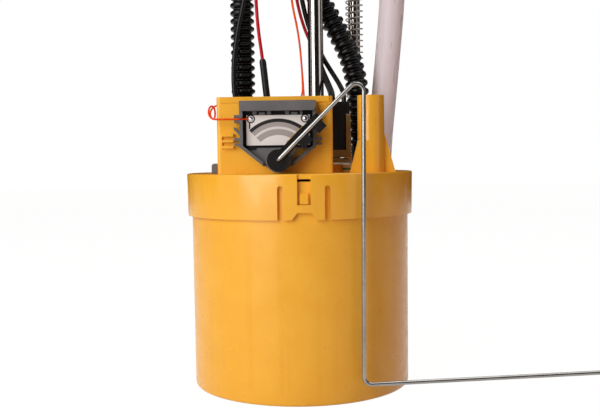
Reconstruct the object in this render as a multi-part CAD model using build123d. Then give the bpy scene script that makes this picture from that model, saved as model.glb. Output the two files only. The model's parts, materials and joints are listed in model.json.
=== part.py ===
from build123d import *
import os
from math import atan2, cos, degrees, radians, sin, tan

# A fuel pump module. A round two-piece reservoir stands on the tank's floor with the
# pump inside it. Two guide rods, a spring, hoses and leads join it to the tank flange
# above, and a float on a bent wire swings beside it and turns a level sensor.
# Origin: centre of the reservoir's flat base. +Z up, -Y the sensor's side, +X the
# float's side. Millimetres.


def around(radius, turn):
    """Place on the plan at this radius and this many degrees round from +X."""
    return radius * cos(radians(turn)), radius * sin(radians(turn))


# ---------------------------------------------------------------- reservoir
LID_TOP = 108.5        # lid's top face over the base
LID_PLATE = 2.4        # thickness of the lid's plate
SKIRT_H = 21.2         # height of the skirt, from the lid's top face
SKIRT_DRAFT = 0.35     # the skirt's radius loses this much towards its mouth
RIM_DROP = 3.6         # cup's rim below the lid's top face
CUP_R = 55.7           # outside radius of the cup at its rim
CUP_DRAFT = 0.3        # and how much smaller it is at the base
CUP_WALL = 2.0
CUP_FLOOR = 3.0
CUP_EDGE_R = 1.5       # rounding between wall and floor
SKIRT_GAP = 0.25       # between the cup and the skirt
SKIRT_WALL = 2.05      # skirt's wall under the lid's edge
LID_R = CUP_R + SKIRT_GAP + SKIRT_WALL
SEAT_W = 2.7           # width of the ring under the lid that rests on the cup's rim
INNER_R = CUP_R - CUP_DRAFT - CUP_WALL    # cup's inside radius at the floor
MOULD_GAP = 0.1        # between moulded pieces that plug together
EDGE_R = 0.8           # rounding of moulded outer edges

LATCHES = 4
LATCH_TURN = 1.85      # the latches sit this many degrees round from the front
SLOT_W = 2.6           # relief slot each side of a latch
SLOT_PITCH = 21.8      # from one slot's middle to the other's
SLOT_TOP = 5.5         # slot's round end below the lid's top face
WINDOW_W = 6.2
WINDOW_FOOT = 14.2     # window's lower edge below the lid's top face
RECESS = 1.0           # depth of the flat over the window
NOTCH_H = 3.3          # notch in the skirt's mouth under the window
NOTCH_TOP_W = 6.6
NOTCH_FOOT_W = 11.4
NOSE_W = 3.9           # nose on the cup that the latch hooks over
NOSE_H = 5.0
NOSE_OUT = 1.6
NOSE_GAP = 0.3         # between the nose and the window's lower edge

# ---------------------------------------------------------------- pump's place in the cup
PUMP_R = 19.0
RUBBER_T = 2.0         # rubber sleeve round the pump
CRADLE_WALL = 1.8
CRADLE_GAP = 0.05      # between the rubber and the cradle
CRADLE_ROOM = 4.55     # between the cradle and the cup's wall
PUMP = (-(INNER_R - CRADLE_ROOM - CRADLE_WALL - CRADLE_GAP - RUBBER_T - PUMP_R), 2.0)

# ---------------------------------------------------------------- posts and fittings on the lid
BASE_POST_WALL = 2.5
FRONT_ROD = (9.3, 5.0)
FRONT_ROD_R = 4.0
REAR_ROD_R = 3.25
REAR_POST_WALL = 1.9   # thinner below the lid, where the cup's wall is close
REAR_POST_ROOM = 0.33  # between the rear post and the ring that rests on the cup
REAR_ROD_TURN = 48.9
REAR_ROD = around(CUP_R + SKIRT_GAP - SEAT_W - REAR_POST_ROOM - REAR_POST_WALL - REAR_ROD_R, REAR_ROD_TURN)
ROD_GAP = 0.06         # running fit of the rods in their posts
FRONT_POST_H = 29.5    # over the lid
REAR_POST_H = 9.5
POST_DEPTH = 18.5      # posts reach this far below the lid's top face
TOWER_R = 6.45
TOWER_EDGE = 13.2      # tower's middle in from the lid's edge
TOWER = around(LID_R - TOWER_EDGE, -38.7)
TOWER_BORE_R = 4.3
TOWER_H = 37.1
GUSSET_T = 2.4
LEFT_GUSSET_W = 4.2
LEFT_GUSSET_H = 15.3
RIGHT_GUSSET_W = 5.4
RIGHT_GUSSET_H = 18.4
FEED_PORT = (PUMP[0] - 1.8, PUMP[1] - 12.0)
RETURN_PORT = (INNER_R - 19.8, 10.0)
VENT_EDGE = 9.4        # vent port's middle in from the lid's edge
VENT_PORT = around(LID_R - VENT_EDGE, 26.9)
PORT_BORE_R = 2.6
BARB_R = 4.0
BARB_H = 15.0
BARB_FOOT_H = 2.0
BARB_FOOT_R = 6.5
SPIGOT_DEPTH = 5.5     # spigots below the lid's plate
REG = (17.8, -8.4)     # pressure regulator
REG_R = 6.0
REG_WALL = 2.2
REG_BOSS_H = 3.1
REG_DEPTH = 12.5
GROMMET = (FEED_PORT[0] + 12.2, FEED_PORT[1] - 4.5)
GROMMET_R = 4.5
GROMMET_PITCH = 3.8    # between the two leads in it
BLEED = (23.7, -17.2)
BLEED_R = 1.95
CRADLE_FOOT = 115.7    # harness plug's cradle over the regulator
CRADLE_SIDE_X = 25.9   # outer face of its side wall
CRADLE_W = 16.5
CRADLE_BASE = 3.8
CRADLE_SIDE = 2.4
CRADLE_H = 21.8
HARNESS_PLUG_D = 13.4
PLUG_RISE = 24.2       # plug's top over the cradle's base
PLUG_Y = -9.5
PLUG_LEAD_X = (16.9, 23.0)
PLUG_BORE = 2.5        # depth of the leads' holes in the plug

# ---------------------------------------------------------------- sensor carrier
CARRIER_L = -39.0
CARRIER_R = 16.1
CARRIER_BACK = -21.0
CARRIER_H = 36.5
CARRIER_WALL = 2.0
CARRIER_ROUND = 1.6
CARRIER_LIP_H = 2.8
CARRIER_LIP = 0.5
BAY_RIB_T = 1.6        # ribs between the three bays at the back
BAY_RIB_INSET = 4.0    # from the carrier's back to the ribs
FOOT_W = 6.0           # snap feet through the lid
FOOT_T = 2.0
FOOT_INSET = 9.0
CLIP_W = 3.3           # harness clip beside the carrier
CLIP_H = 5.0

# ---------------------------------------------------------------- level sensor
PIVOT_X = -9.9
PIVOT_Z = 114.8
HOUSING_HALF_W = 17.9
HOUSING_TOP = 27.9     # over the pivot
HOUSING_SHOULDER = 6.2 # where the sides turn into the slanted rails
RAIL_END_W = 7.0
RAIL_END_Z = -2.7
RAIL_T = 1.5
HOUSING_PLATE = 2.0
HOUSING_WALL_D = 6.0   # walls stand this far off the carrier
BAR_H = 3.6
BAR_D = 7.0
BAR_LEDGE = 0.3        # ledge under the bar stands this much prouder
COLLAR_R = 5.8
CARD_W = 29.9
CARD_H = 14.2
CARD_T = 0.8
CARD_X = -9.8
CARD_FOOT = 7.1        # card's lower edge over the pivot
TRAY_T = 1.0           # black tray that the card lies on, let into the housing's plate
TRAY_FOOT = COLLAR_R + 0.1
PAD_Z = 12.5           # solder pads' height over the card's lower edge
PAD_X = 12.8
PAD_R = 1.1
JOURNAL_R = 2.5
JOURNAL_GAP = 0.05
HUB_R = 5.1
HOLDER_GAP = 0.6       # between the housing's bar and the holder
HOLDER_T = 3.0
HOLDER_LONG = 28.0
HOLDER_W = 4.4
HOLDER_SIDE = 0.6      # holder's middle lies this far to one side of the wire
JAW_OUT = 4.9          # jaws reach this far to the wire's other side
WIPER_R = (18.8, 14.6) # radii of the two contact paths

# ---------------------------------------------------------------- float and wire
WIRE_R = 1.0
WIRE_TOP = (29.95, 154.3)   # corners where the wire's straight runs meet
WIRE_FOOT = (28.8, 9.75)
WIRE_ROOM = 1.65       # between the lid's edge and the wire's long leg
WIRE_Y = -((LID_R ** 2 - WIRE_FOOT[0] ** 2) ** 0.5 + WIRE_ROOM + WIRE_R)
WIRE_AHEAD = 2.6       # wire's plane in front of the holder's bar
CARRIER_FRONT = WIRE_Y + WIRE_AHEAD + HOLDER_T + HOLDER_GAP + BAR_LEDGE + BAR_D + CARRIER_LIP
WIRE_RISE = 0.0381     # slope of the long lower leg
WIRE_END_X = 178.0
BEND_R = 3.5
FLOAT_L = 46.0
FLOAT_W = 24.0
FLOAT_H = 21.0
FLOAT_ROUND = 3.0
FLOAT_RISE = 2.4       # the wire passes this far over the float's middle
FLOAT_GAP = 0.07
FLOAT_STANDOFF = 3.2   # between the wire's plane and the float
NUT_R = 3.2
NUT_T = 0.6

# ---------------------------------------------------------------- tank flange
FLANGE_Z = 310.0       # flange's seat over the base, module at its full height
FLANGE_T = 4.0
PILOT_ROOM = 2.5       # pilot ring's radius over the lid's, so that both pass the tank's hole
PILOT_R = LID_R + PILOT_ROOM
PILOT_WALL = 2.5
FLANGE_RIM = 9.5       # flange's width outside the pilot ring
FLANGE_R = PILOT_R + FLANGE_RIM
DOME_H = 3.0
DOME_R = PILOT_R - 2.0
WEBS = 8
PILOT_DEPTH = 9.0
CEILING = 3.0          # inside the pilot the underside is this much higher
SEAL_W = 5.4
SEAL_T = 4.0
SOCKET_DEPTH = 12.0    # bosses under the ceiling that hold the rods
SOCKET_WALL = 2.8
UPPER_FEED = FEED_PORT
UPPER_RETURN = (-6.0, 18.5)
UPPER_VENT = (PILOT_R - 14.0, 20.0)
UPPER_BARB = 9.0
UPPER_FOOT = 2.3       # barbs' feet reach this far below the seat
FEED_PIPE_R = 4.75
RETURN_PIPE_R = 3.95
PIPE_WALL = 1.35
PIPE_RISE = 11.0
PIPE_BEND = 9.0
FEED_REACH = 36.0
RETURN_REACH = 48.0
VENT_REACH = 27.0
BEAD_BACK = 14.0       # bead behind the pipe's tip
BEAD_OUT = 1.3
SHELL_C = (UPPER_FEED[0] + 20.8, UPPER_FEED[1] - 9.0)
SHELL_W = 24.0
SHELL_D = 16.0
SHELL_H = 20.0
SHELL_WALL = 1.8
SHELL_FLOOR = 4.0
SHELL_ROUND = 3.0
PINS = 4
PLUG_W = 20.0
PLUG_ROOM = 2.3        # between the plug and the feed hose's barb
PLUG_C = (UPPER_FEED[0] + BARB_FOOT_R + PLUG_ROOM + PLUG_W / 2, UPPER_FEED[1] - 5.5)
PLUG_D = 11.0
PLUG_H = 14.0

# ---------------------------------------------------------------- hoses, leads, spring
HOSE_R = 6.0
HOSE_BORE_R = 4.1
VENT_TUBE_R = 6.75
VENT_TUBE_BORE_R = 5.3
LEAD_R = 0.85
BLACK_LEAD_R = 1.25
SENSOR_LEAD_R = 0.45
RUN_SHARE = 0.45       # arc's share of the shorter run beside it
SPRING_R = 4.95
SPRING_WIRE = 0.8
SPRING_PITCH = 3.2

# ---------------------------------------------------------------- pump
PUMP_WALL = 1.5
CAN_FOOT = 20.0
CAN_TOP = 84.0
COVER_FOOT = 14.0
CHAMBER_FLOOR = 18.6
CHAMBER_TOP = 22.2
PLATE_TOP = 26.0
CAP_FOOT = 80.0
CAP_TOP = 91.0
IMPELLER_R = 15.0
IMPELLER_GAP = 0.08
VANES = 24
SHAFT_R = 2.0
SHAFT_GAP = 0.04
MAGNET_T = 3.4
AIR_GAP = 0.6
STACK_FOOT = 36.0
STACK_TOP = 66.0
COMM_TOP = 76.0
COMM_R = 6.0
ARMATURE_SLOTS = 8
INLET_OFFSET = 8.0
INLET_R = 5.0
INLET_H = 4.0
OUTLET_R = 4.0
OUTLET_TOP = 98.0
CRADLE_TOP = 72.0
SOCK_L = 36.0
SOCK_W = 24.0
SOCK_T = 5.0
WELL_R = 13.0
WELL_WALL = 2.0
WELL_H = 7.0
WELL_ROOM = 1.05       # between the inlet well and the cup's wall
WELL_TURN = 74.5
WELL = around(INNER_R - WELL_ROOM - WELL_WALL - WELL_R, WELL_TURN)
JET_R = 4.0


# ================================================================ helpers
def at(place, z, solid):
    """Moves a solid to a place on the plan and a height."""
    return Pos(place[0], place[1], z) * solid


def rod(radius, height, z=0.0):
    return Pos(0, 0, z) * Cylinder(radius, height, align=(Align.CENTER, Align.CENTER, Align.MIN))


def block(x0, x1, y0, y1, z0, z1):
    """Box between two corners."""
    size = (x1 - x0, y1 - y0, z1 - z0)
    return Pos((x0 + x1) / 2, (y0 + y1) / 2, (z0 + z1) / 2) * Box(*size)


def turned(*points):
    """Solid of revolution about Z from points of radius and height."""
    return revolve(Plane.XZ * make_face(Polyline(*points, close=True)), Axis.Z)


def front_plate(outline, y_front, y_back):
    """Plate between two depths, its outline given as points across and up."""
    face = Plane.XZ.offset(-y_back) * make_face(Polyline(*outline, close=True))
    return extrude(face, y_back - y_front)


def front_disc(x, z, radius, y_front, y_back):
    """Cylinder that lies along Y, between two depths."""
    disc = Rot(90, 0, 0) * Cylinder(radius, y_back - y_front)
    return Pos(x, (y_front + y_back) / 2, z) * disc


def route(points, printed=""):
    """Straight runs joined by arcs, each arc as large as its two runs allow."""
    corners = [Vector(*p) for p in points]
    radii = []
    for before, corner, after in zip(corners, corners[1:], corners[2:]):
        turn = (corner - before).get_angle(after - corner)
        run = min((corner - before).length, (after - corner).length)
        radii.append(RUN_SHARE * run / tan(radians(turn / 2)))
    print(printed, "radii", [round(r, 1) for r in radii])
    return FilletPolyline(*corners, radius=radii)


def tube(points, radius, bore=0.0, name=""):
    """Round cord or hose along a route, hollow where it has a bore."""
    path = route(points, name)
    section = Circle(radius)
    if bore:
        section -= Circle(bore)
    solid = sweep(Plane(origin=path @ 0, z_dir=path % 0) * section, path=path)
    print(name, "length", round(path.length, 1), "volume share",
          round(solid.volume / (section.area * path.length), 4))
    return solid


def save(name, shape):
    export_step(shape, f"parts/{name}.step")


# ================================================================ reservoir
def latch_places():
    return [Rot(0, 0, LATCH_TURN + 360 / LATCHES * i) for i in range(LATCHES)]


def latch_nose():
    """Ramped nose on the cup's wall: the latch rides down over it and hooks below it."""
    foot = LID_TOP - WINDOW_FOOT + NOSE_GAP
    wall = -CUP_R + CUP_WALL / 2
    outline = [
        (wall, foot),
        (-CUP_R - NOSE_OUT, foot),
        (-CUP_R - NOSE_OUT, foot + NOSE_H * 0.4),
        (-CUP_R - NOSE_OUT / 2, foot + NOSE_H),
        (wall, foot + NOSE_H),
    ]
    face = Plane.YZ * make_face(Polyline(*outline, close=True))
    return extrude(face, NOSE_W / 2, both=True)


def reservoir_cup():
    rim = LID_TOP - RIM_DROP
    base_r = CUP_R - CUP_DRAFT
    cup = turned((0, 0), (base_r, 0), (CUP_R, rim), (CUP_R - CUP_WALL, rim),
                 (base_r - CUP_WALL, CUP_FLOOR), (0, CUP_FLOOR))
    outer = cup.edges().filter_by(GeomType.CIRCLE).group_by(Axis.Z)[0]
    cup = fillet(outer, CUP_EDGE_R)
    for place in latch_places():
        cup += place * latch_nose()
    cup += at(WELL, 0, rod(WELL_R + WELL_WALL, WELL_H))
    cup -= at(WELL, 0, rod(WELL_R, WELL_H - WELL_WALL))
    cup -= at(WELL, 0, rod(1.6, WELL_H + 1))
    for i in range(6):
        hole = Rot(0, 0, 60 * i) * Pos(5.0, 0, 0) * rod(1.7, WELL_H + 1)
        cup -= at(WELL, 0, hole)
    for turn in (-24, 0, 24):
        groove = block(0, 80, -4, 4, -1, 1.2)
        cup -= at(WELL, 0, Rot(0, 0, WELL_TURN + turn) * groove)
    return cup


def latch_cuts():
    """What each latch takes out of the skirt, drawn at the front."""
    mouth = LID_TOP - SKIRT_H - 1
    out, inner = -LID_R - 2, -LID_R + 5.0
    slot_top = LID_TOP - SLOT_TOP - SLOT_W / 2
    cuts = []
    for side in (-1, 1):
        x = side * SLOT_PITCH / 2
        cuts.append(block(x - SLOT_W / 2, x + SLOT_W / 2, out, inner, mouth, slot_top))
        cuts.append(front_disc(x, slot_top, SLOT_W / 2, out, inner))
    half = WINDOW_W / 2
    window_foot = LID_TOP - WINDOW_FOOT
    ceiling = LID_TOP - LID_PLATE
    cuts.append(block(-half, half, out, inner, window_foot, ceiling))
    cuts.append(block(-half, half, out, -LID_R + RECESS, ceiling, LID_TOP + 1))
    notch = [
        (-NOTCH_FOOT_W / 2, mouth),
        (NOTCH_FOOT_W / 2, mouth),
        (NOTCH_FOOT_W / 2, mouth + 1),
        (NOTCH_TOP_W / 2, mouth + 1 + NOTCH_H),
        (-NOTCH_TOP_W / 2, mouth + 1 + NOTCH_H),
        (-NOTCH_FOOT_W / 2, mouth + 1),
    ]
    cuts.append(front_plate(notch, out, inner))
    return cuts


def lid_shell():
    skirt_in = CUP_R + SKIRT_GAP
    mouth = LID_TOP - SKIRT_H
    under = LID_TOP - LID_PLATE
    rim = LID_TOP - RIM_DROP
    lid = turned((0, LID_TOP), (LID_R, LID_TOP), (LID_R - SKIRT_DRAFT, mouth),
                 (skirt_in, mouth), (skirt_in, rim), (skirt_in - SEAT_W, rim),
                 (skirt_in - SEAT_W, under), (0, under))
    top_edge = lid.edges().filter_by(GeomType.CIRCLE).sort_by(SortBy.RADIUS)[-1]
    lid = fillet(top_edge, EDGE_R)
    for place in latch_places():
        for cut in latch_cuts():
            lid -= place * cut
    return lid


def barb(height, foot_h, foot_r):
    """Hose fitting with two shallow barbs, standing on a foot."""
    shank = BARB_R - 0.4
    points = [(0, 0), (foot_r, 0), (foot_r, foot_h), (shank, foot_h)]
    step = (height - foot_h) / 3
    for i in range(1, 3):
        z = foot_h + step * i
        points += [(shank, z), (BARB_R, z), (shank, z + step * 0.8)]
    points += [(shank - 0.3, height), (0, height)]
    return turned(*points)


def gusset(width, height, side, depth_shift):
    """Triangular web from the hollow post down to the lid."""
    inner = TOWER_R - 1.5
    outline = [
        (side * 0.5, 0),
        (side * (TOWER_R + width), 0),
        (side * (TOWER_R + 0.2), height),
        (side * inner, height),
        (side * 0.5, height),
    ]
    y = TOWER[1] + depth_shift
    web = front_plate(outline, y - GUSSET_T / 2, y + GUSSET_T / 2)
    return Pos(TOWER[0], 0, LID_TOP) * web


def reservoir_lid():
    lid = lid_shell()
    posts = (
        (FRONT_ROD, FRONT_ROD_R, BASE_POST_WALL, FRONT_POST_H, BASE_POST_WALL),
        (REAR_ROD, REAR_ROD_R, BASE_POST_WALL + 0.7, REAR_POST_H, REAR_POST_WALL),
    )
    for place, bore, wall, height, low_wall in posts:
        lid += at(place, LID_TOP, rod(bore + wall, height))
        lid += at(place, LID_TOP - POST_DEPTH, rod(bore + low_wall, POST_DEPTH))
    lid += at(TOWER, LID_TOP, rod(TOWER_R, TOWER_H))
    lid += gusset(LEFT_GUSSET_W, LEFT_GUSSET_H, -1, -TOWER_R + GUSSET_T / 2)
    lid += gusset(RIGHT_GUSSET_W, RIGHT_GUSSET_H, 1, 0)
    under = LID_TOP - LID_PLATE
    for port in (FEED_PORT, RETURN_PORT, VENT_PORT):
        lid += at(port, LID_TOP, barb(BARB_H, BARB_FOOT_H, BARB_FOOT_R))
    for port in (FEED_PORT, RETURN_PORT):
        lid += at(port, under - SPIGOT_DEPTH, rod(BARB_R, SPIGOT_DEPTH))
    lid += at(REG, LID_TOP - REG_DEPTH, rod(REG_R + REG_WALL, REG_DEPTH + REG_BOSS_H))
    for place, bore, *_ in posts:
        lid -= at(place, 0, rod(bore + ROD_GAP, 2 * LID_TOP))
    lid -= at(TOWER, 0, rod(TOWER_BORE_R, 2 * LID_TOP))
    for port in (FEED_PORT, RETURN_PORT, VENT_PORT):
        lid -= at(port, 0, rod(PORT_BORE_R, 2 * LID_TOP))
    lid -= at(REG, LID_TOP - REG_DEPTH + REG_WALL, rod(REG_R + MOULD_GAP, LID_TOP))
    lid -= at(REG, 0, rod(1.5, LID_TOP))
    lid -= at(GROMMET, 0, rod(GROMMET_R, 2 * LID_TOP))
    lid -= at(BLEED, 0, rod(BLEED_R - 0.5, 2 * LID_TOP))
    for x in foot_places():
        y = foot_depth()
        half_w, half_t = FOOT_W / 2 + 0.3, FOOT_T / 2 + 0.2
        lid -= block(x - half_w, x + half_w, y - half_t, y + half_t, under - 1, LID_TOP + 1)
    return lid


def inlet_screen():
    """Coarse round screen in the mouth of the inlet well, above the base."""
    ring = rod(WELL_R - MOULD_GAP, 1.4, 1.3) - rod(WELL_R - 2.0, 3, 1)
    for i in range(-3, 4):
        half = (max((WELL_R - 1.2) ** 2 - (3.2 * i) ** 2, 1)) ** 0.5
        ring += block(-half, half, 3.2 * i - 0.5, 3.2 * i + 0.5, 1.5, 2.3)
        ring += block(3.2 * i - 0.5, 3.2 * i + 0.5, -half, half, 1.7, 2.5)
    return at(WELL, 0, ring)


def umbrella_valve():
    """Rubber flap over the inlet holes, with its stem and bulb."""
    top = WELL_H
    flap = turned((0, top), (8.6, top), (8.6, top + 0.6), (2.0, top + 1.6), (0, top + 1.6))
    stem = rod(1.5, WELL_WALL + 0.6, WELL_H - WELL_WALL - 0.6)
    bulb = turned((0, WELL_H - WELL_WALL - 2.6), (1.2, WELL_H - WELL_WALL - 2.2),
                  (2.2, WELL_H - WELL_WALL - 0.05), (0, WELL_H - WELL_WALL - 0.05))
    return at(WELL, 0, flap + stem + bulb)


# ================================================================ sensor carrier
def foot_places():
    return (CARRIER_L + FOOT_INSET, CARRIER_R - FOOT_INSET)


def foot_depth():
    return (CARRIER_FRONT + CARRIER_BACK) / 2


def sensor_carrier():
    """Box open at the back, with a lip, grip ribs, a corner boss and two snap feet."""
    back = CARRIER_BACK
    top = LID_TOP + CARRIER_H
    shell = block(CARRIER_L, CARRIER_R, CARRIER_FRONT, back, LID_TOP, top)
    front = shell.edges().filter_by(Axis.Z).group_by(Axis.Y)[0]
    shell = fillet(front, CARRIER_ROUND)
    wall = CARRIER_WALL
    shell -= block(CARRIER_L + wall, CARRIER_R - wall, CARRIER_FRONT + wall, back + 1,
                   LID_TOP + wall, top - wall)
    width = CARRIER_R - CARRIER_L
    for share in (1 / 3, 2 / 3):
        x = CARRIER_L + width * share
        shell += block(x - BAY_RIB_T / 2, x + BAY_RIB_T / 2, CARRIER_FRONT + wall - 0.1,
                       back - BAY_RIB_INSET, LID_TOP + wall - 0.1, top - wall + 0.1)
    inset = CARRIER_ROUND
    lip_foot = top - CARRIER_LIP_H
    shell += block(CARRIER_L + inset, CARRIER_R - inset, CARRIER_FRONT - CARRIER_LIP,
                   CARRIER_FRONT + wall, lip_foot, top)
    for z, thick in ((18.4, 1.4), (15.7, 0.9), (12.7, 1.2)):
        shell += block(CARRIER_L + 2.7, CARRIER_L + 8.0, CARRIER_FRONT - 1.0,
                       CARRIER_FRONT + wall, LID_TOP + z - thick / 2, LID_TOP + z + thick / 2)
    shell += front_disc(CARRIER_R - 4.4, top - 5.4, 2.2, CARRIER_FRONT - 1.2, CARRIER_FRONT + wall)
    lead_z = PIVOT_Z + CARD_FOOT + PAD_Z
    shell -= front_disc(CARD_X + PAD_X, lead_z, SENSOR_LEAD_R + 0.3, CARRIER_FRONT - 5, back)
    y = foot_depth()
    for x in foot_places():
        leg = block(x - FOOT_W / 2, x + FOOT_W / 2, y - FOOT_T / 2, y + FOOT_T / 2,
                    LID_TOP - LID_PLATE - 2.2, LID_TOP + 0.5)
        hook = block(x - FOOT_W / 2, x + FOOT_W / 2, y + FOOT_T / 2 - 0.1, y + FOOT_T / 2 + 0.9,
                     LID_TOP - LID_PLATE - 2.2, LID_TOP - LID_PLATE - 0.1)
        shell += leg + hook
    return shell


def harness_clip():
    """Small bevelled clip beside the carrier, with a slot for a cable tie."""
    right = CARRIER_L - 1.0
    left = right - CLIP_W
    bevel = 0.8
    face = [(left, 0), (right, 0), (right, CLIP_H - bevel), (right - bevel, CLIP_H),
            (left + bevel, CLIP_H), (left, CLIP_H - bevel)]
    clip = Pos(0, 0, LID_TOP) * front_plate(face, CARRIER_BACK - 3.0, CARRIER_BACK + 7.0)
    slot = block(left + 1.1, right + 1, CARRIER_BACK + 0.5, CARRIER_BACK + 3.5,
                 LID_TOP + 1.4, LID_TOP + 3.8)
    return clip - slot


# ================================================================ level sensor
def housing_outline(half_w, top, shoulder, end_w, end_z):
    return [
        (-half_w, top), (half_w, top), (half_w, shoulder), (end_w, end_z),
        (-end_w, end_z), (-half_w, shoulder),
    ]


def sensor_housing():
    """Shield-shaped frame: plate, top bar, side walls, slanted rails, collar and tabs."""
    back = CARRIER_FRONT - CARRIER_LIP
    plate_front = back - HOUSING_PLATE
    wall_front = back - HOUSING_WALL_D
    half, top = HOUSING_HALF_W, HOUSING_TOP
    outline = housing_outline(half, top, HOUSING_SHOULDER, RAIL_END_W, RAIL_END_Z)
    frame = front_plate(outline, plate_front, back)
    bar_foot = top - BAR_H
    frame += block(-half, half, back - BAR_D, back, bar_foot, top)
    frame += block(-half + 0.6, half - 0.6, back - BAR_D - BAR_LEDGE, back, bar_foot - 1.1, bar_foot)
    for side in (-1, 1):
        x0, x1 = sorted((side * half, side * (half - RAIL_T)))
        frame += block(x0, x1, wall_front, back, HOUSING_SHOULDER, top)
        rail = [
            (side * half, HOUSING_SHOULDER),
            (side * RAIL_END_W, RAIL_END_Z),
            (side * RAIL_END_W, RAIL_END_Z + RAIL_T * 1.2),
            (side * (half - 0.2), HOUSING_SHOULDER + RAIL_T * 1.2),
        ]
        frame += front_plate(rail, wall_front, back)
        frame += side_tabs(side, half, back)
    frame -= block(-half + RAIL_T, half - RAIL_T, plate_front - 1, plate_front + TRAY_T, TRAY_FOOT, bar_foot - 1.1)
    for x, wide in ((-10.9, 1.9), (-4.1, 1.9), (4.5, 1.8), (11.1, 1.3)):
        frame += block(x - wide / 2, x + wide / 2, plate_front - 1.5, plate_front - 0.05,
                       CARD_FOOT + CARD_H + 0.3, bar_foot - 1)
    frame += front_disc(0, 0, COLLAR_R, wall_front - 0.3, back)
    window = [(6.3, 0.2), (9.4, 1.4), (14.6, 5.6), (8.4, 5.6)]
    frame -= front_plate(window, plate_front - 0.1, back + 1)
    frame -= front_disc(0, 0, JOURNAL_R + JOURNAL_GAP, back - 20, back + 1)
    lead_z = CARD_FOOT + PAD_Z
    room = SENSOR_LEAD_R + 0.05
    frame -= block(-half - 1, -half + RAIL_T + 0.5, back - 20, plate_front, lead_z - room, lead_z + room)
    frame -= front_disc(CARD_X - PIVOT_X + PAD_X, lead_z, room, back - 20, back + 1)
    return Pos(PIVOT_X, 0, PIVOT_Z) * frame


def side_tabs(side, half, back):
    """Snap tabs that stand out of the housing's side, one of them slanted."""
    group = None
    for low, high in ((20.15, 21.5), (18.0, 19.05), (9.4, 10.7), (7.1, 8.1)):
        x0, x1 = sorted((side * half, side * (half + 2.8)))
        tab = block(x0, x1, back - 3.0, back, low, high)
        group = tab if group is None else group + tab
    wing = [
        (side * (half + 2.8), 15.9), (side * (half + 2.8), 14.6),
        (side * (half - 0.2), 11.6), (side * (half - 0.2), 13.2),
    ]
    return group + front_plate(wing, back - 4.5, back)


def card_face():
    return CARRIER_FRONT - CARRIER_LIP - HOUSING_PLATE - CARD_T


def card_tray():
    """Tray that the card lies on, with two clips over the card's upper edge and a foot."""
    half = HOUSING_HALF_W - RAIL_T - MOULD_GAP
    back = card_face() + CARD_T + TRAY_T
    front = back - TRAY_T
    top = HOUSING_TOP - BAR_H - 1.1 - MOULD_GAP
    tray = block(-half, half, front, back, TRAY_FOOT + MOULD_GAP, top)
    card_top = CARD_FOOT + CARD_H
    for x in (-7.4, 7.8):
        tray += block(x - 1.5, x + 1.5, front - CARD_T - 0.05, front, card_top + 0.1, card_top + 1.3)
        tray += block(x - 1.5, x + 1.5, front - CARD_T - 0.85, front - CARD_T - 0.05,
                      card_top - 1.0, card_top + 1.3)
    foot_x = CARD_X - PIVOT_X - CARD_W / 2
    tray += block(foot_x + 0.6, foot_x + 4.2, front - CARD_T, front, CARD_FOOT - 1.9, CARD_FOOT)
    tray -= front_disc(CARD_X - PIVOT_X + PAD_X, CARD_FOOT + PAD_Z, SENSOR_LEAD_R + 0.05,
                       front - 5, back + 1)
    return Pos(PIVOT_X, 0, PIVOT_Z) * tray


def resistor_card():
    x0, x1 = CARD_X - CARD_W / 2, CARD_X + CARD_W / 2
    z0 = PIVOT_Z + CARD_FOOT
    return block(x0, x1, card_face(), card_face() + CARD_T, z0, z0 + CARD_H)


def card_terminals():
    """Two domed solder joints near the card's upper corners."""
    dome = revolve(
        Plane.XZ * make_face(Polyline((0, 0), (PAD_R, 0), (PAD_R * 0.8, 0.5), (0, 0.9), close=True)),
        Axis.Z,
    )
    dome = Rot(90, 0, 0) * dome
    z = PIVOT_Z + CARD_FOOT + PAD_Z
    return Compound([Pos(CARD_X + side * PAD_X, card_face(), z) * dome for side in (-1, 1)])


def holder_back():
    """Depth of the arm holder's back face."""
    return CARRIER_FRONT - CARRIER_LIP - BAR_D - BAR_LEDGE - HOLDER_GAP


def rest_angle():
    """Angle of the wire's first run over the horizontal, float down."""
    return degrees(atan2(WIRE_TOP[1] - PIVOT_Z, WIRE_TOP[0] - PIVOT_X))


def arm_holder():
    """Hub, bar and two jaws that grip the wire, drawn along +X and turned to rest."""
    back = holder_back()
    front = back - HOLDER_T
    bar = [
        (0, -HUB_R * 0.6), (HUB_R, HOLDER_SIDE - HOLDER_W / 2),
        (HOLDER_LONG, HOLDER_SIDE - HOLDER_W / 2), (HOLDER_LONG, HOLDER_SIDE + HOLDER_W / 2),
        (HUB_R, HOLDER_SIDE + HOLDER_W / 2), (0, HUB_R * 0.8),
    ]
    holder = front_plate(bar, front, back)
    holder += front_disc(0, 0, HUB_R, front - 1.2, back)
    holder += front_disc(0, 0, JOURNAL_R, back - 1, CARRIER_FRONT - CARRIER_LIP - 0.1)
    jaw_front = WIRE_Y - WIRE_R - 1.2
    for mid, long in ((HOLDER_LONG - 3.2, 4.6), (15.2, 6.0)):
        jaw = block(mid - long / 2, mid + long / 2, jaw_front, back, -JAW_OUT, HOLDER_SIDE + HOLDER_W / 2)
        throat = block(mid - long, mid + long, jaw_front - 1, WIRE_Y, -WIRE_R - 0.02, WIRE_R + 0.02)
        holder += jaw - throat
    holder += front_disc(0, 0, HUB_R * 0.55, front - 1.8, back)
    holder = Pos(PIVOT_X, 0, PIVOT_Z) * Rot(0, -rest_angle(), 0) * holder
    return holder - wire_run(WIRE_R + 0.02, 2.42)


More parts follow.
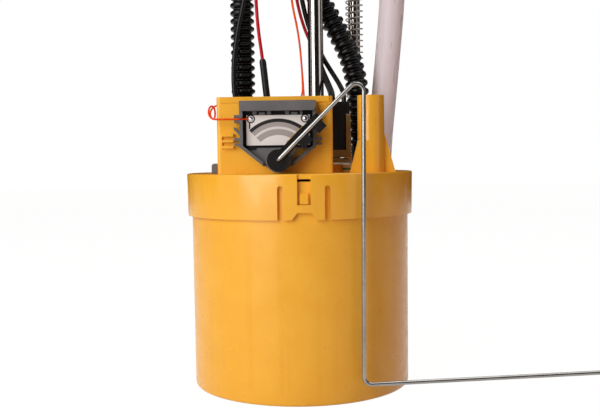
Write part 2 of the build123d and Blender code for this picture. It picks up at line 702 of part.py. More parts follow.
def wiper_contacts():
    """Two sprung brass fingers under the holder, one for each contact path."""
    back = holder_back()
    group = []
    for radius in WIPER_R:
        leaf = block(radius - 4.0, radius + 0.6, back, back + 0.3, 0.3, 2.3)
        stem = block(radius - 0.5, radius + 0.5, back, card_face() - 0.08, 0.5, 2.1)
        group.append(leaf + stem)
    plate = block(WIPER_R[1] - 6.0, WIPER_R[0] + 0.6, back, back + 0.3, 2.3, 3.2)
    joined = group[0] + group[1] + plate
    return Pos(PIVOT_X, 0, PIVOT_Z) * Rot(0, -rest_angle(), 0) * joined


# ================================================================ float
def wire_end():
    """Where the wire turns into the float: across and up."""
    rise = (WIRE_END_X - WIRE_FOOT[0]) * WIRE_RISE
    return WIRE_END_X, WIRE_FOOT[1] + rise


def wire_run(radius, depth):
    """Bent wire from its foot in the hub, this deep, to its tip behind the float."""
    end_x, end_z = wire_end()
    tip = WIRE_Y + FLOAT_STANDOFF + FLOAT_W + 2.0
    start = holder_back() - HOLDER_T + depth
    points = [
        (PIVOT_X, start, PIVOT_Z), (PIVOT_X, WIRE_Y, PIVOT_Z),
        (WIRE_TOP[0], WIRE_Y, WIRE_TOP[1]), (WIRE_FOOT[0], WIRE_Y, WIRE_FOOT[1]),
        (end_x, WIRE_Y, end_z), (end_x, tip, end_z),
    ]
    path = FilletPolyline(*points, radius=[1.6, BEND_R, BEND_R, 2.6])
    return sweep(Plane(origin=path @ 0, z_dir=path % 0) * Circle(radius), path=path)


def float_block():
    end_x, end_z = wire_end()
    mid_y = WIRE_Y + FLOAT_STANDOFF + FLOAT_W / 2
    body = Box(FLOAT_L, FLOAT_W, FLOAT_H)
    body = fillet(body.edges().filter_by(Axis.Y), FLOAT_ROUND)
    body = Pos(end_x, mid_y, end_z - FLOAT_RISE) * body
    return body - front_disc(end_x, end_z, WIRE_R + FLOAT_GAP, WIRE_Y, mid_y + FLOAT_W)


def float_nut():
    """Dished push nut that keeps the float on the wire."""
    end_x, end_z = wire_end()
    near = WIRE_Y + FLOAT_STANDOFF + FLOAT_W + 0.3
    nut = front_disc(end_x, end_z, NUT_R, near, near + NUT_T)
    nut += front_disc(end_x, end_z, NUT_R * 0.6, near, near + NUT_T * 1.8)
    return nut - front_disc(end_x, end_z, WIRE_R, near - 1, near + 3)


# ================================================================ regulator and plug beside the carrier
def reg_top():
    return LID_TOP + REG_BOSS_H


def pressure_regulator():
    """Steel can in the lid's boss, with its rolled flange on top."""
    body = turned((0, reg_top() - 11.0), (REG_R - 0.8, reg_top() - 11.0), (REG_R, reg_top() - 10.0),
                  (REG_R, reg_top() + 0.05), (8.6, reg_top() + 0.05), (8.8, reg_top() + 0.4),
                  (8.8, reg_top() + 1.3), (8.4, reg_top() + 1.7), (0, reg_top() + 1.7))
    return at(REG, 0, body)


def regulator_retainer():
    foot = reg_top() + 1.7
    ring = turned((3.0, foot), (8.8, foot), (8.8, foot + 1.5), (8.0, foot + 2.2), (3.0, foot + 2.2))
    return at(REG, 0, ring)


def plug_cradle():
    """Natural nylon cradle: a base and one side wall that hold the plug."""
    front, back = PLUG_Y - HARNESS_PLUG_D / 2 - 0.4, PLUG_Y + HARNESS_PLUG_D / 2 + 0.4
    left, right = CRADLE_SIDE_X - CRADLE_W, CRADLE_SIDE_X
    base = block(left, right, front, back, CRADLE_FOOT, CRADLE_FOOT + CRADLE_BASE)
    wall = block(right - CRADLE_SIDE, right, front, back, CRADLE_FOOT, CRADLE_FOOT + CRADLE_H)
    peg = at(REG, 0, rod(2.9, 3.0, reg_top() + 1.75))
    return base + wall + peg


def harness_plug():
    """Black two-way plug that stands in the cradle, its hood over the side wall."""
    foot = CRADLE_FOOT + CRADLE_BASE
    front, back = PLUG_Y - HARNESS_PLUG_D / 2, PLUG_Y + HARNESS_PLUG_D / 2
    left = CRADLE_SIDE_X - CRADLE_W + 0.2
    right = CRADLE_SIDE_X - CRADLE_SIDE - MOULD_GAP
    body = block(left, right, front, back, foot, plug_top() - 2.0)
    body = fillet(body.edges().filter_by(Axis.Z), 0.6)
    body += block(left + 1.0, CRADLE_SIDE_X - 0.4, front + 1.2, back - 1.2,
                  CRADLE_FOOT + CRADLE_H + 0.3, plug_top())
    for x, radius in zip(PLUG_LEAD_X, (LEAD_R, BLACK_LEAD_R)):
        body -= Pos(x, PLUG_Y, plug_top() - PLUG_BORE) * rod(radius + 0.02, 5)
    return body


def plug_top():
    return CRADLE_FOOT + CRADLE_BASE + PLUG_RISE


def bleed_spigot():
    """White nylon spigot beside the regulator."""
    body = turned((0, LID_TOP - 4), (BLEED_R - 0.55, LID_TOP - 4), (BLEED_R - 0.55, LID_TOP),
                  (BLEED_R, LID_TOP), (BLEED_R, LID_TOP + 1.1), (BLEED_R - 0.5, LID_TOP + 1.1),
                  (BLEED_R - 0.5, LID_TOP + 2.1), (BLEED_R, LID_TOP + 2.1),
                  (BLEED_R, LID_TOP + 3.0), (0, LID_TOP + 3.0))
    return at(BLEED, 0, body)


def bleed_seal():
    ring = Pos(0, 0, LID_TOP + 1.6) * Torus(BLEED_R - 0.02, 0.45)
    core = at((0, 0), 0, rod(BLEED_R - 0.48, 2, LID_TOP + 0.6))
    return at(BLEED, 0, ring - core)


def lead_grommet():
    """Rubber grommet that lets the pump's leads through the lid."""
    low, high = LID_TOP - LID_PLATE, LID_TOP
    body = turned((0, low - 1.5), (GROMMET_R + 1.0, low - 1.5), (GROMMET_R + 1.0, low),
                  (GROMMET_R, low), (GROMMET_R, high), (GROMMET_R + 1.0, high),
                  (GROMMET_R + 0.6, high + 1.5), (0, high + 1.5))
    body = at(GROMMET, 0, body)
    for side, radius in ((1, LEAD_R), (-1, BLACK_LEAD_R)):
        body -= Pos(GROMMET[0] + side * GROMMET_PITCH / 2, GROMMET[1], low - 5) * rod(radius + 0.02, 20)
    return body


# ================================================================ pump
def pump_can():
    can = rod(PUMP_R, CAN_TOP - CAN_FOOT, CAN_FOOT)
    can -= rod(PUMP_R - PUMP_WALL, CAN_TOP, 0)
    return at(PUMP, 0, can)


def pump_magnets():
    """Two curved magnets against the can's wall."""
    outer = PUMP_R - PUMP_WALL - 0.02
    ring = rod(outer, STACK_TOP - STACK_FOOT + 4, STACK_FOOT - 2) - rod(outer - MAGNET_T, 200, 0)
    gaps = Rot(0, 0, 45) * block(-30, 30, -5, 5, 0, 200)
    return at(PUMP, 0, ring - gaps)


def pump_inlet_cover():
    inner = PUMP_R - PUMP_WALL - 0.02
    cover = turned((0, COVER_FOOT), (PUMP_R - 1, COVER_FOOT), (PUMP_R, COVER_FOOT + 1),
                   (PUMP_R, CAN_FOOT), (inner, CAN_FOOT), (inner, CHAMBER_TOP), (0, CHAMBER_TOP))
    cover += Pos(INLET_OFFSET, 0, COVER_FOOT - INLET_H) * rod(INLET_R, INLET_H)
    cover -= rod(IMPELLER_R + 0.1, 10, CHAMBER_FLOOR)
    cover -= rod(SHAFT_R + SHAFT_GAP, CHAMBER_FLOOR, CHAMBER_FLOOR - 2.5)
    cover -= Pos(INLET_OFFSET, 0, 0) * rod(INLET_R - 1.6, CHAMBER_FLOOR + 1)
    return at(PUMP, 0, cover)


def pump_chamber_plate():
    inner = PUMP_R - PUMP_WALL - 0.02
    plate = rod(inner, PLATE_TOP - CHAMBER_TOP, CHAMBER_TOP)
    plate -= rod(SHAFT_R + SHAFT_GAP, 100, 0)
    plate -= Pos(-INLET_OFFSET - 4, 0, 0) * rod(2.0, 100)
    return at(PUMP, 0, plate)


def pump_impeller():
    """Turbine wheel: a disc with vane pockets round its rim."""
    thick = CHAMBER_TOP - CHAMBER_FLOOR - 2 * IMPELLER_GAP
    wheel = rod(IMPELLER_R, thick, CHAMBER_FLOOR + IMPELLER_GAP)
    pocket = Pos(IMPELLER_R - 1.6, 0, 0) * block(-1.1, 2.0, -0.9, 0.9, 0, 40)
    for i in range(VANES):
        wheel -= Rot(0, 0, 360 / VANES * i) * pocket
    return at(PUMP, 0, wheel - rod(SHAFT_R, 100))


def pump_shaft():
    return at(PUMP, 0, rod(SHAFT_R, COMM_TOP + 10 - CHAMBER_FLOOR, CHAMBER_FLOOR - 1.5))


def pump_armature():
    """Slotted lamination stack with winding ends and the commutator over it."""
    outer = PUMP_R - PUMP_WALL - MAGNET_T - AIR_GAP
    stack = rod(outer, STACK_TOP - STACK_FOOT, STACK_FOOT)
    for i in range(ARMATURE_SLOTS):
        slot = Rot(0, 0, 360 / ARMATURE_SLOTS * i) * Pos(outer - 2.0, 0, 0)
        stack -= slot * block(-2.5, 3.0, -0.8, 0.8, 0, 200)
    ends = turned((0, STACK_FOOT - 5), (outer - 4, STACK_FOOT - 5), (outer - 3, STACK_FOOT),
                  (outer - 3, STACK_TOP), (outer - 4, STACK_TOP + 4), (COMM_R, STACK_TOP + 5),
                  (COMM_R, COMM_TOP), (0, COMM_TOP))
    return at(PUMP, 0, stack + ends - rod(SHAFT_R, 200))


def pump_brushes():
    """Two carbon brushes beside the commutator."""
    near = COMM_R + 0.1
    pair = [block(near, near + 7, -2, 2, COMM_TOP - 5, COMM_TOP - 0.5),
            block(-near - 7, -near, -2, 2, COMM_TOP - 5, COMM_TOP - 0.5)]
    return Compound([at(PUMP, 0, brush) for brush in pair])


def outlet_offset():
    return FEED_PORT[0] - PUMP[0], FEED_PORT[1] - PUMP[1]


def pump_outlet_cap():
    """Cap with the upper bearing, brush arms and the outlet pipe."""
    inner = PUMP_R - PUMP_WALL - 0.02
    dx, dy = outlet_offset()
    cap = turned((0, CAP_FOOT), (inner, CAP_FOOT), (inner, CAN_TOP), (PUMP_R, CAN_TOP),
                 (PUMP_R, CAP_TOP - 1), (PUMP_R - 1, CAP_TOP), (0, CAP_TOP))
    for side in (-1, 1):
        x0, x1 = sorted((side * (COMM_R + 7.1), side * (COMM_R + 9.0)))
        cap += block(x0, x1, -3, 3, COMM_TOP - 5, CAP_FOOT + 1)
    cap += Pos(dx, dy, CAP_TOP) * rod(OUTLET_R, OUTLET_TOP - CAP_TOP)
    cap -= Pos(dx, dy, 0) * rod(OUTLET_R - 1.5, 200)
    cap -= rod(SHAFT_R + SHAFT_GAP, CAP_FOOT + 7)
    return at(PUMP, 0, cap)


def pump_isolator():
    """Ribbed rubber sleeve between the can and its cradle."""
    sleeve = rod(PUMP_R + RUBBER_T, CRADLE_TOP - CAN_FOOT - 6, CAN_FOOT + 4)
    for i in range(12):
        rib = Rot(0, 0, 30 * i) * Pos(PUMP_R + RUBBER_T + 0.4, 0, 0)
        sleeve -= rib * block(-0.9, 0.9, -2.5, 2.5, 0, 200)
    return at(PUMP, 0, sleeve - rod(PUMP_R + 0.02, 200))


def pump_cradle():
    """Open cage that stands on the cup's floor and holds the pump in its rubber."""
    inner = PUMP_R + RUBBER_T + CRADLE_GAP
    cage = rod(inner + CRADLE_WALL, CRADLE_TOP - CUP_FLOOR, CUP_FLOOR)
    cage -= rod(inner, 200)
    low = block(-40, 40, -9, 9, CUP_FLOOR + 3, CAN_FOOT - 2)
    mid = block(-40, 40, -7, 7, CAN_FOOT + 10, CRADLE_TOP - 10)
    for turn in (0, 60, 120):
        cage -= Rot(0, 0, turn) * low
        cage -= Rot(0, 0, turn + 30) * mid
    return at(PUMP, 0, cage)


def inlet_strainer():
    """Flat sock under the pump with its collar on the inlet stub."""
    foot = CUP_FLOOR + 0.3
    sock = Box(SOCK_L, SOCK_W, SOCK_T)
    sock = fillet(sock.edges().filter_by(Axis.Z), 9.0)
    sock = fillet(sock.edges().group_by(Axis.Z)[-1], 1.8)
    sock = Pos(0, 0, foot + SOCK_T / 2) * sock
    stub_z = COVER_FOOT - INLET_H
    collar_foot = foot + SOCK_T - 1.0
    collar = Pos(INLET_OFFSET, 0, 0) * rod(INLET_R + 1.4, stub_z + 2.5 - collar_foot, collar_foot)
    hole = Pos(INLET_OFFSET, 0, stub_z) * rod(INLET_R + 0.02, 20)
    return at(PUMP, 0, sock + collar - hole)


def pump_outlet_hose():
    """Short rubber hose from the pump's outlet to the lid's feed spigot."""
    foot = CAP_TOP + 1.0
    top = LID_TOP - LID_PLATE - 0.4
    sleeve = rod(OUTLET_R + 2.0, top - foot, foot) - rod(OUTLET_R + 0.02, 300)
    return at(FEED_PORT, 0, sleeve)


PUMP_PLUG = (PUMP[0] + 6.5, PUMP[1] + 6.0)


def pump_plug():
    body = block(-7, 7, -4, 4, 0, 8)
    body = fillet(body.edges().filter_by(Axis.Z), 0.8)
    body += block(-3, 3, 3.9, 5.2, 1, 6)
    return at(PUMP_PLUG, CAP_TOP, body)


def jet_pump():
    """Jet pump: an upright inlet and a mixing tube along the floor with a flared mouth."""
    axis_z = CUP_FLOOR + JET_R + 2.4
    x, y = RETURN_PORT
    upright = at(RETURN_PORT, 0, rod(JET_R, 34.0 - axis_z, axis_z))
    mix = front_disc(x, axis_z, JET_R + 1.0, y - 34.0, y + 6.0)
    flare = Pos(x, y - 34.0, axis_z) * Rot(90, 0, 0) * Cone(JET_R + 1.0, JET_R + 2.2, 5.0)
    feet = block(x - 4, x + 4, y - 2, y + 2, CUP_FLOOR, axis_z)
    feet += block(x - 4, x + 4, y - 28, y - 24, CUP_FLOOR, axis_z)
    body = upright + mix + flare + feet
    body -= at(RETURN_PORT, 0, rod(JET_R - 1.6, 60, axis_z))
    body -= front_disc(x, axis_z, JET_R - 1.2, y - 60.0, y + 3.0)
    return body


def jet_hose():
    foot = 22.0
    top = LID_TOP - LID_PLATE - 0.4
    sleeve = rod(JET_R + 1.8, top - foot, foot) - rod(JET_R + 0.02, 300)
    return at(RETURN_PORT, 0, sleeve)


# ================================================================ flange
def flange_ceiling():
    return FLANGE_Z + CEILING


def flange_plate():
    """Disc with a raised middle, pilot ring, rod sockets, barbs and stiffening webs."""
    top = FLANGE_Z + FLANGE_T
    dome = top + DOME_H
    inner = PILOT_R - PILOT_WALL
    low = FLANGE_Z - PILOT_DEPTH
    plate = turned((0, dome), (DOME_R, dome), (DOME_R + DOME_H / 2, top), (FLANGE_R, top),
                   (FLANGE_R, FLANGE_Z), (PILOT_R, FLANGE_Z), (PILOT_R - 0.4, low),
                   (inner, low), (inner, flange_ceiling()), (0, flange_ceiling()))
    rim = plate.edges().filter_by(GeomType.CIRCLE).sort_by(SortBy.RADIUS)[-1]
    plate = fillet(rim, EDGE_R)
    plate += Rot(0, 0, 90) * block(FLANGE_R - 3, FLANGE_R + 4, -5, 5, FLANGE_Z, top)
    for i in range(WEBS):
        web = block(inner - 9, inner + 0.5, -0.8, 0.8, FLANGE_Z - 4, flange_ceiling() + 0.5)
        plate += Rot(0, 0, 360 / WEBS * i + 8) * web
    socket_foot = flange_ceiling() - SOCKET_DEPTH
    for place, radius in ((FRONT_ROD, FRONT_ROD_R), (REAR_ROD, REAR_ROD_R)):
        plate += at(place, socket_foot, rod(radius + SOCKET_WALL, SOCKET_DEPTH + 0.5))
    for place in (UPPER_FEED, UPPER_RETURN, UPPER_VENT):
        plate += at(place, FLANGE_Z - UPPER_FOOT + 0.5, rod(BARB_FOOT_R, CEILING + UPPER_FOOT))
        stub = Rot(180, 0, 0) * barb(UPPER_BARB, 0.5, BARB_FOOT_R)
        plate += at(place, FLANGE_Z - UPPER_FOOT + 0.5, stub)
    for place, radius in ((FRONT_ROD, FRONT_ROD_R), (REAR_ROD, REAR_ROD_R)):
        plate -= at(place, 0, rod(radius, FLANGE_Z + 2.0))
    for place in (UPPER_FEED, UPPER_RETURN, UPPER_VENT):
        plate -= at(place, 0, rod(PORT_BORE_R, 2 * FLANGE_Z))
    return plate


def tank_seal():
    inner = PILOT_R + 0.1
    ring = rod(inner + SEAL_W, SEAL_T, FLANGE_Z - SEAL_T) - rod(inner, 2 * FLANGE_Z)
    edges = ring.edges().filter_by(GeomType.CIRCLE)
    return chamfer(edges, 0.9)


def nipple(place, pipe_r, reach, turn):
    """Bent pipe with a collar on the flange and a bead behind its tip."""
    z0 = FLANGE_Z + FLANGE_T + DOME_H
    points = [(0, 0, 0), (0, 0, PIPE_RISE), (reach, 0, PIPE_RISE)]
    path = FilletPolyline(*points, radius=[PIPE_BEND])
    ring = Circle(pipe_r) - Circle(pipe_r - PIPE_WALL)
    pipe = sweep(Plane.XY * ring, path=path)
    bore = rod(pipe_r - PIPE_WALL / 2, 20, -5)
    collar = turned((0, 0), (pipe_r + 3.2, 0), (pipe_r + 3.2, 1.0), (pipe_r + 0.6, 2.4), (0, 2.4))
    bead = turned((0, -1.0), (pipe_r + BEAD_OUT, -0.6), (pipe_r + BEAD_OUT, 0.6), (0, 1.0))
    bead = Pos(reach - BEAD_BACK, 0, PIPE_RISE) * Rot(0, 90, 0) * (bead - rod(pipe_r - 0.3, 20, -5))
    body = pipe + (collar - bore) + bead
    return at(place, z0, Rot(0, 0, turn) * body)


def connector_shell():
    """Open electrical shell that stands on the flange, keyed on one side."""
    body = block(-SHELL_W / 2, SHELL_W / 2, -SHELL_D / 2, SHELL_D / 2, 0, SHELL_H)
    body = fillet(body.edges().filter_by(Axis.Z), SHELL_ROUND)
    hollow = block(-SHELL_W / 2 + SHELL_WALL, SHELL_W / 2 - SHELL_WALL, -SHELL_D / 2 + SHELL_WALL,
                   SHELL_D / 2 - SHELL_WALL, SHELL_FLOOR, SHELL_H + 1)
    hollow = fillet(hollow.edges().filter_by(Axis.Z), SHELL_ROUND - SHELL_WALL)
    body -= hollow
    body += block(-2.5, 2.5, -SHELL_D / 2 - 2.0, -SHELL_D / 2 + 0.3, 5.0, 13.0)
    z0 = FLANGE_Z + FLANGE_T + DOME_H
    for x in pin_places():
        body -= block(x - 0.8, x + 0.8, -0.4, 0.4, -1, SHELL_FLOOR + 1)
    return at(SHELL_C, z0, body)


def pin_places():
    pitch = (SHELL_W - 2 * SHELL_WALL) / (PINS + 0.5)
    return [pitch * (i - (PINS - 1) / 2) for i in range(PINS)]


def connector_pins():
    z0 = FLANGE_Z + FLANGE_T + DOME_H
    pins = [block(x - 0.8, x + 0.8, -0.4, 0.4, 0.05, SHELL_FLOOR + 9.0) for x in pin_places()]
    return Compound([at(SHELL_C, z0, pin) for pin in pins])


def flange_plug():
    """Plug under the flange that gathers the leads."""
    top = flange_ceiling()
    body = block(-PLUG_W / 2, PLUG_W / 2, -PLUG_D / 2, PLUG_D / 2, top - PLUG_H, top)
    body = fillet(body.edges().filter_by(Axis.Z), 1.0)
    body += block(-3, 3, -PLUG_D / 2 - 1.4, -PLUG_D / 2 + 0.2, top - PLUG_H + 2, top - PLUG_H + 9)
    return at(PLUG_C, 0, body)


def clip_groove():
    """Foot of the clips' grooves, just below the guide posts."""
    return LID_TOP - POST_DEPTH - 0.95


def guide_rod(place, radius):
    """Rod from the flange's socket to just below its post, grooved for its clip."""
    foot = LID_TOP - POST_DEPTH - 5.0
    top = FLANGE_Z + 2.0
    groove = clip_groove()
    body = rod(radius, top - foot, foot)
    body = chamfer(body.edges().group_by(Axis.Z)[0], 0.6)
    ring = rod(radius + 1, 0.9, groove) - rod(radius - 0.6, 400)
    return at(place, 0, body - ring)


def rod_clips():
    """Open retaining clips in the rods' grooves: they stop the flange's upward travel."""
    groove = clip_groove()
    clips = []
    for place, radius in ((FRONT_ROD, FRONT_ROD_R), (REAR_ROD, REAR_ROD_R)):
        ring = rod(radius + 1.6, 0.8, groove + 0.05) - rod(radius - 0.55, 400)
        ring -= block(0, 20, -radius * 0.6, radius * 0.6, 0, 400)
        clips.append(at(place, 0, ring))
    return Compound(clips)


# ================================================================ spring, hoses and leads
def rod_spring():
    """Helical spring between the rear post and the flange's socket."""
    foot = LID_TOP + REAR_POST_H + SPRING_WIRE / 2
    top = flange_ceiling() - SOCKET_DEPTH - SPRING_WIRE / 2
    radius = SPRING_R - SPRING_WIRE / 2
    turns = round((top - foot) / SPRING_PITCH)
    path = Helix((top - foot) / turns, top - foot, radius, center=(0, 0, foot))
    section = Plane(origin=path @ 0, z_dir=path % 0) * RegularPolygon(SPRING_WIRE / 2, 4)
    return at(REAR_ROD, 0, sweep(section, path=path, is_frenet=True))


def lower_seat():
    return LID_TOP + BARB_FOOT_H + 0.05


def upper_seat():
    return FLANGE_Z - UPPER_FOOT - 0.05


def feed_hose():
    foot, top = lower_seat(), upper_seat()
    return at(FEED_PORT, 0, rod(HOSE_R, top - foot, foot) - rod(HOSE_BORE_R, 2 * FLANGE_Z))


def return_hose():
    x, y = RETURN_PORT
    u, v = UPPER_RETURN
    points = [
        (x, y, lower_seat()), (x, y, 136), (32.5, 11.0, 152), (28.4, 14.0, 169), (20.4, 16.2, 184.6),
        (12.0, 17.4, 199.4), (3.0, 18.2, 215), (u, v, 238), (u, v, upper_seat()),
    ]
    return tube(points, HOSE_R, HOSE_BORE_R, "return_hose")


def vent_tube():
    x, y = VENT_PORT
    u, v = UPPER_VENT
    points = [
        (x, y, lower_seat()), (x, y, 120), (46.6, y, 151), (51.4, y, 200), (52.4, 21.4, 235),
        (u, v, 276), (u, v, upper_seat()),
    ]
    return tube(points, VENT_TUBE_R, VENT_TUBE_BORE_R, "vent_tube")


def plug_foot():
    """Underside of the flange's plug, where every lead starts."""
    return flange_ceiling() - PLUG_H


def from_plug(across, ahead, second):
    """A lead's first two points: its hole in the flange's plug, and the height where it starts to bend."""
    x, y = PLUG_C[0] + across, PLUG_C[1] - ahead
    return [(x, y, plug_foot()), (x, y, second)]


def by_feed_hose(*points):
    """Points of a lead given across and ahead of the feed hose, with their heights."""
    return [(FEED_PORT[0] + across, FEED_PORT[1] - ahead, z) for across, ahead, z in points]


def pump_lead_end():
    """Height at which the pump's leads turn into its plug."""
    return CAP_TOP + 4.0


def pump_lead_red():
    x, y = GROMMET[0] + GROMMET_PITCH / 2, GROMMET[1]
    end = pump_lead_end()
    beside = by_feed_hose(
        (11.3, 7.2, 236), (7.0, 7.3, 203), (8.0, 7.1, 181), (10.2, 6.6, 165), (11.8, 5.8, 148))
    ending = [(x, y, 128), (x, y, end + 1), (x, PUMP_PLUG[1] - 4.1, end)]
    points = from_plug(-4.0, 1.5, 268) + beside + ending
    return tube(points, LEAD_R, name="pump_lead_red")


def pump_lead_black():
    x, y = GROMMET[0] - GROMMET_PITCH / 2, GROMMET[1]
    end = pump_lead_end()
    beside = by_feed_hose(
        (7.3, 7.9, 228), (2.0, 8.0, 195), (-2.2, 7.9, 178), (-4.5, 7.8, 160), (-3.8, 7.6, 143),
        (2.3, 7.2, 130))
    ending = [(x, y, 121), (x, y, end + 1.5), (x, PUMP_PLUG[1] - 4.1, end)]
    points = from_plug(-7.5, 1.7, 262) + beside + ending
    return tube(points, BLACK_LEAD_R, name="pump_lead_black")


def plug_lead_red():
    points = from_plug(3.0, -0.5, 270) + [
        (-5.0, -6.0, 244), (-3.0, 5.0, 216),
        (1.3, 12.0, 189), (9.2, 12.2, 170), (14.0, 7.6, 160), (16.9, -3.0, 154),
        (PLUG_LEAD_X[0], PLUG_Y, 149.5), (PLUG_LEAD_X[0], PLUG_Y, plug_top() - PLUG_BORE),
    ]
    return tube(points, LEAD_R, name="plug_lead_red")


def plug_lead_black():
    points = from_plug(6.0, -0.5, 266) + [
        (-2.2, -6.0, 240), (0.0, 5.0, 213),
        (4.6, 13.2, 187), (12.9, 13.4, 170), (19.3, 6.4, 159), (22.6, -3.6, 152.5),
        (PLUG_LEAD_X[1], PLUG_Y, 148.6), (PLUG_LEAD_X[1], PLUG_Y, plug_top() - PLUG_BORE),
    ]
    return tube(points, BLACK_LEAD_R, name="plug_lead_black")


def sensor_lead_signal():
    """Thin lead down behind the carrier, round its left edge and on to the card."""
    z = PIVOT_Z + CARD_FOOT + PAD_Z
    y = card_face() - SENSOR_LEAD_R - 0.05
    points = from_plug(0.4, 1.1, 262) + [
        (-6.0, -16.8, 226), (-3.2, -17.0, 194),
        (0.7, -17.2, 176), (2.2, -17.6, 154), (-3.6, -19.7, 143.2), (-20.0, -19.9, 142.4),
        (-39.2, -19.4, 142.4), (-41.6, -22.8, 141.8), (-42.0, -31.5, 139.0), (-40.8, -40.0, 135.4),
        (-37.0, y, z), (CARD_X - PAD_X - PAD_R, y, z),
    ]
    return tube(points, SENSOR_LEAD_R, name="sensor_lead_signal")


def sensor_lead_ground():
    """Second lead, through the carrier's front wall to the back of the card."""
    z = PIVOT_Z + CARD_FOOT + PAD_Z
    x = CARD_X + PAD_X
    points = from_plug(0.6, 2.7, 262) + [
        (-5.8, -18.3, 226), (-3.0, -18.4, 194),
        (0.8, -18.6, 176), (x, -19.2, 154), (x, -20.0, 141), (x, -27.0, z),
        (x, card_face() + CARD_T + 0.02, z),
    ]
    return tube(points, SENSOR_LEAD_R, name="sensor_lead_ground")


def main():
    os.makedirs("parts", exist_ok=True)
    save("reservoir_cup", reservoir_cup())
    save("reservoir_lid", reservoir_lid())
    save("inlet_screen", inlet_screen())
    save("umbrella_valve", umbrella_valve())
    save("sensor_carrier", sensor_carrier())
    save("harness_clip", harness_clip())
    save("sensor_housing", sensor_housing())
    save("card_tray", card_tray())
    save("resistor_card", resistor_card())
    save("card_terminals", card_terminals())
    save("arm_holder", arm_holder())
    save("wiper_contacts", wiper_contacts())
    save("float_wire", wire_run(WIRE_R, 2.4))
    save("float_block", float_block())
    save("float_nut", float_nut())
    save("pressure_regulator", pressure_regulator())
    save("regulator_retainer", regulator_retainer())
    save("plug_cradle", plug_cradle())
    save("harness_plug", harness_plug())
    save("bleed_spigot", bleed_spigot())
    save("bleed_seal", bleed_seal())
    save("lead_grommet", lead_grommet())
    save("pump_can", pump_can())
    save("pump_magnets", pump_magnets())
    save("pump_inlet_cover", pump_inlet_cover())
    save("pump_chamber_plate", pump_chamber_plate())
    save("pump_impeller", pump_impeller())
    save("pump_shaft", pump_shaft())
    save("pump_armature", pump_armature())
    save("pump_brushes", pump_brushes())
    save("pump_outlet_cap", pump_outlet_cap())
    save("pump_isolator", pump_isolator())
    save("pump_cradle", pump_cradle())
    save("inlet_strainer", inlet_strainer())
    save("pump_outlet_hose", pump_outlet_hose())
    save("pump_plug", pump_plug())
    save("jet_pump", jet_pump())
    save("jet_hose", jet_hose())
    save("flange_plate", flange_plate())
    save("tank_seal", tank_seal())
    save("feed_nipple", nipple(UPPER_FEED, FEED_PIPE_R, FEED_REACH, 180))
    save("return_nipple", nipple(UPPER_RETURN, RETURN_PIPE_R, RETURN_REACH, 180))
    save("vent_nipple", nipple(UPPER_VENT, RETURN_PIPE_R, VENT_REACH, 90))
    save("connector_shell", connector_shell())
    save("connector_pins", connector_pins())
    save("flange_plug", flange_plug())
    save("front_guide_rod", guide_rod(FRONT_ROD, FRONT_ROD_R))
    save("rear_guide_rod", guide_rod(REAR_ROD, REAR_ROD_R))
    save("rod_clips", rod_clips())
    save("rod_spring", rod_spring())
    save("feed_hose", feed_hose())
    save("return_hose", return_hose())
    save("vent_tube", vent_tube())
    save("pump_lead_red", pump_lead_red())
    save("pump_lead_black", pump_lead_black())
    save("plug_lead_red", plug_lead_red())
    save("plug_lead_black", plug_lead_black())
    save("sensor_lead_signal", sensor_lead_signal())
    save("sensor_lead_ground", sensor_lead_ground())


main()
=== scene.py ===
import json
from math import cos, pi, radians, sin

import bmesh
import bpy
import numpy as np
from mathutils import Matrix, Vector

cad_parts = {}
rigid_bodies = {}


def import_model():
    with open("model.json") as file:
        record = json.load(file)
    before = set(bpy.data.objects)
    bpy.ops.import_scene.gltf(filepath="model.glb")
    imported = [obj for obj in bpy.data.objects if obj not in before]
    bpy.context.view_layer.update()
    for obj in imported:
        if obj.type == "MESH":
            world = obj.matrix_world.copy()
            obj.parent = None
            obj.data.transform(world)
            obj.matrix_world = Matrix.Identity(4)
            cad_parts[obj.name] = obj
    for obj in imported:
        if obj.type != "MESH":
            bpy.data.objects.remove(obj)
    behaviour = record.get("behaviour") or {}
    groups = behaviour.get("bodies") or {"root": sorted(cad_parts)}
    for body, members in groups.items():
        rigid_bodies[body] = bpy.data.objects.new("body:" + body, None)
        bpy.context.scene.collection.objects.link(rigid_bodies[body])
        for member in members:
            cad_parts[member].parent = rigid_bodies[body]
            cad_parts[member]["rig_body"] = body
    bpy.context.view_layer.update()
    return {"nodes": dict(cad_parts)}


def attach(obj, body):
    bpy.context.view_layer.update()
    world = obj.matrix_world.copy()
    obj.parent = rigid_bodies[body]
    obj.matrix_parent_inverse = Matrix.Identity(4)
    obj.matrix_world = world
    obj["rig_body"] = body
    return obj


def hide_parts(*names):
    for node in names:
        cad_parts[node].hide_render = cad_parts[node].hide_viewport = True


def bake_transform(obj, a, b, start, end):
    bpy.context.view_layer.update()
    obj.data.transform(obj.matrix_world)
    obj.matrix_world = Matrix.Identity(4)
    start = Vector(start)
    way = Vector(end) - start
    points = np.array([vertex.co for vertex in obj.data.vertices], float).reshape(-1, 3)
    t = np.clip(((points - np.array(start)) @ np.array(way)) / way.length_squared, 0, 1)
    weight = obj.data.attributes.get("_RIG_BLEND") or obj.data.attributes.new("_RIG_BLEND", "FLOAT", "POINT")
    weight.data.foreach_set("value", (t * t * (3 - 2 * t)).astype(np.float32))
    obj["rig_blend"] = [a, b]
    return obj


MM = 0.001
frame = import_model()

# Places on the module, in millimetres, in the frame that it shares with the CAD.
PIVOT = (-9.9, 114.8)       # the sensor arm's axis: across and up
CARD_FACE = -42.3           # the card's front
CARD_TOP = 136.1            # the card's upper edge
JAW_FRONT = -53.4           # the arm holder's jaws end here, and leave the wire's front clear
HOSE_FROM = 112.0           # hoses, the tube and the pump's leads are still up to here
PLUG_TOP = 141.5            # the plug's leads are still up to here
CARRIER_TOP = 144.4         # the sensor's leads are still up to here
HOSE_TO = 296.0             # all of them go wholly with the flange from here

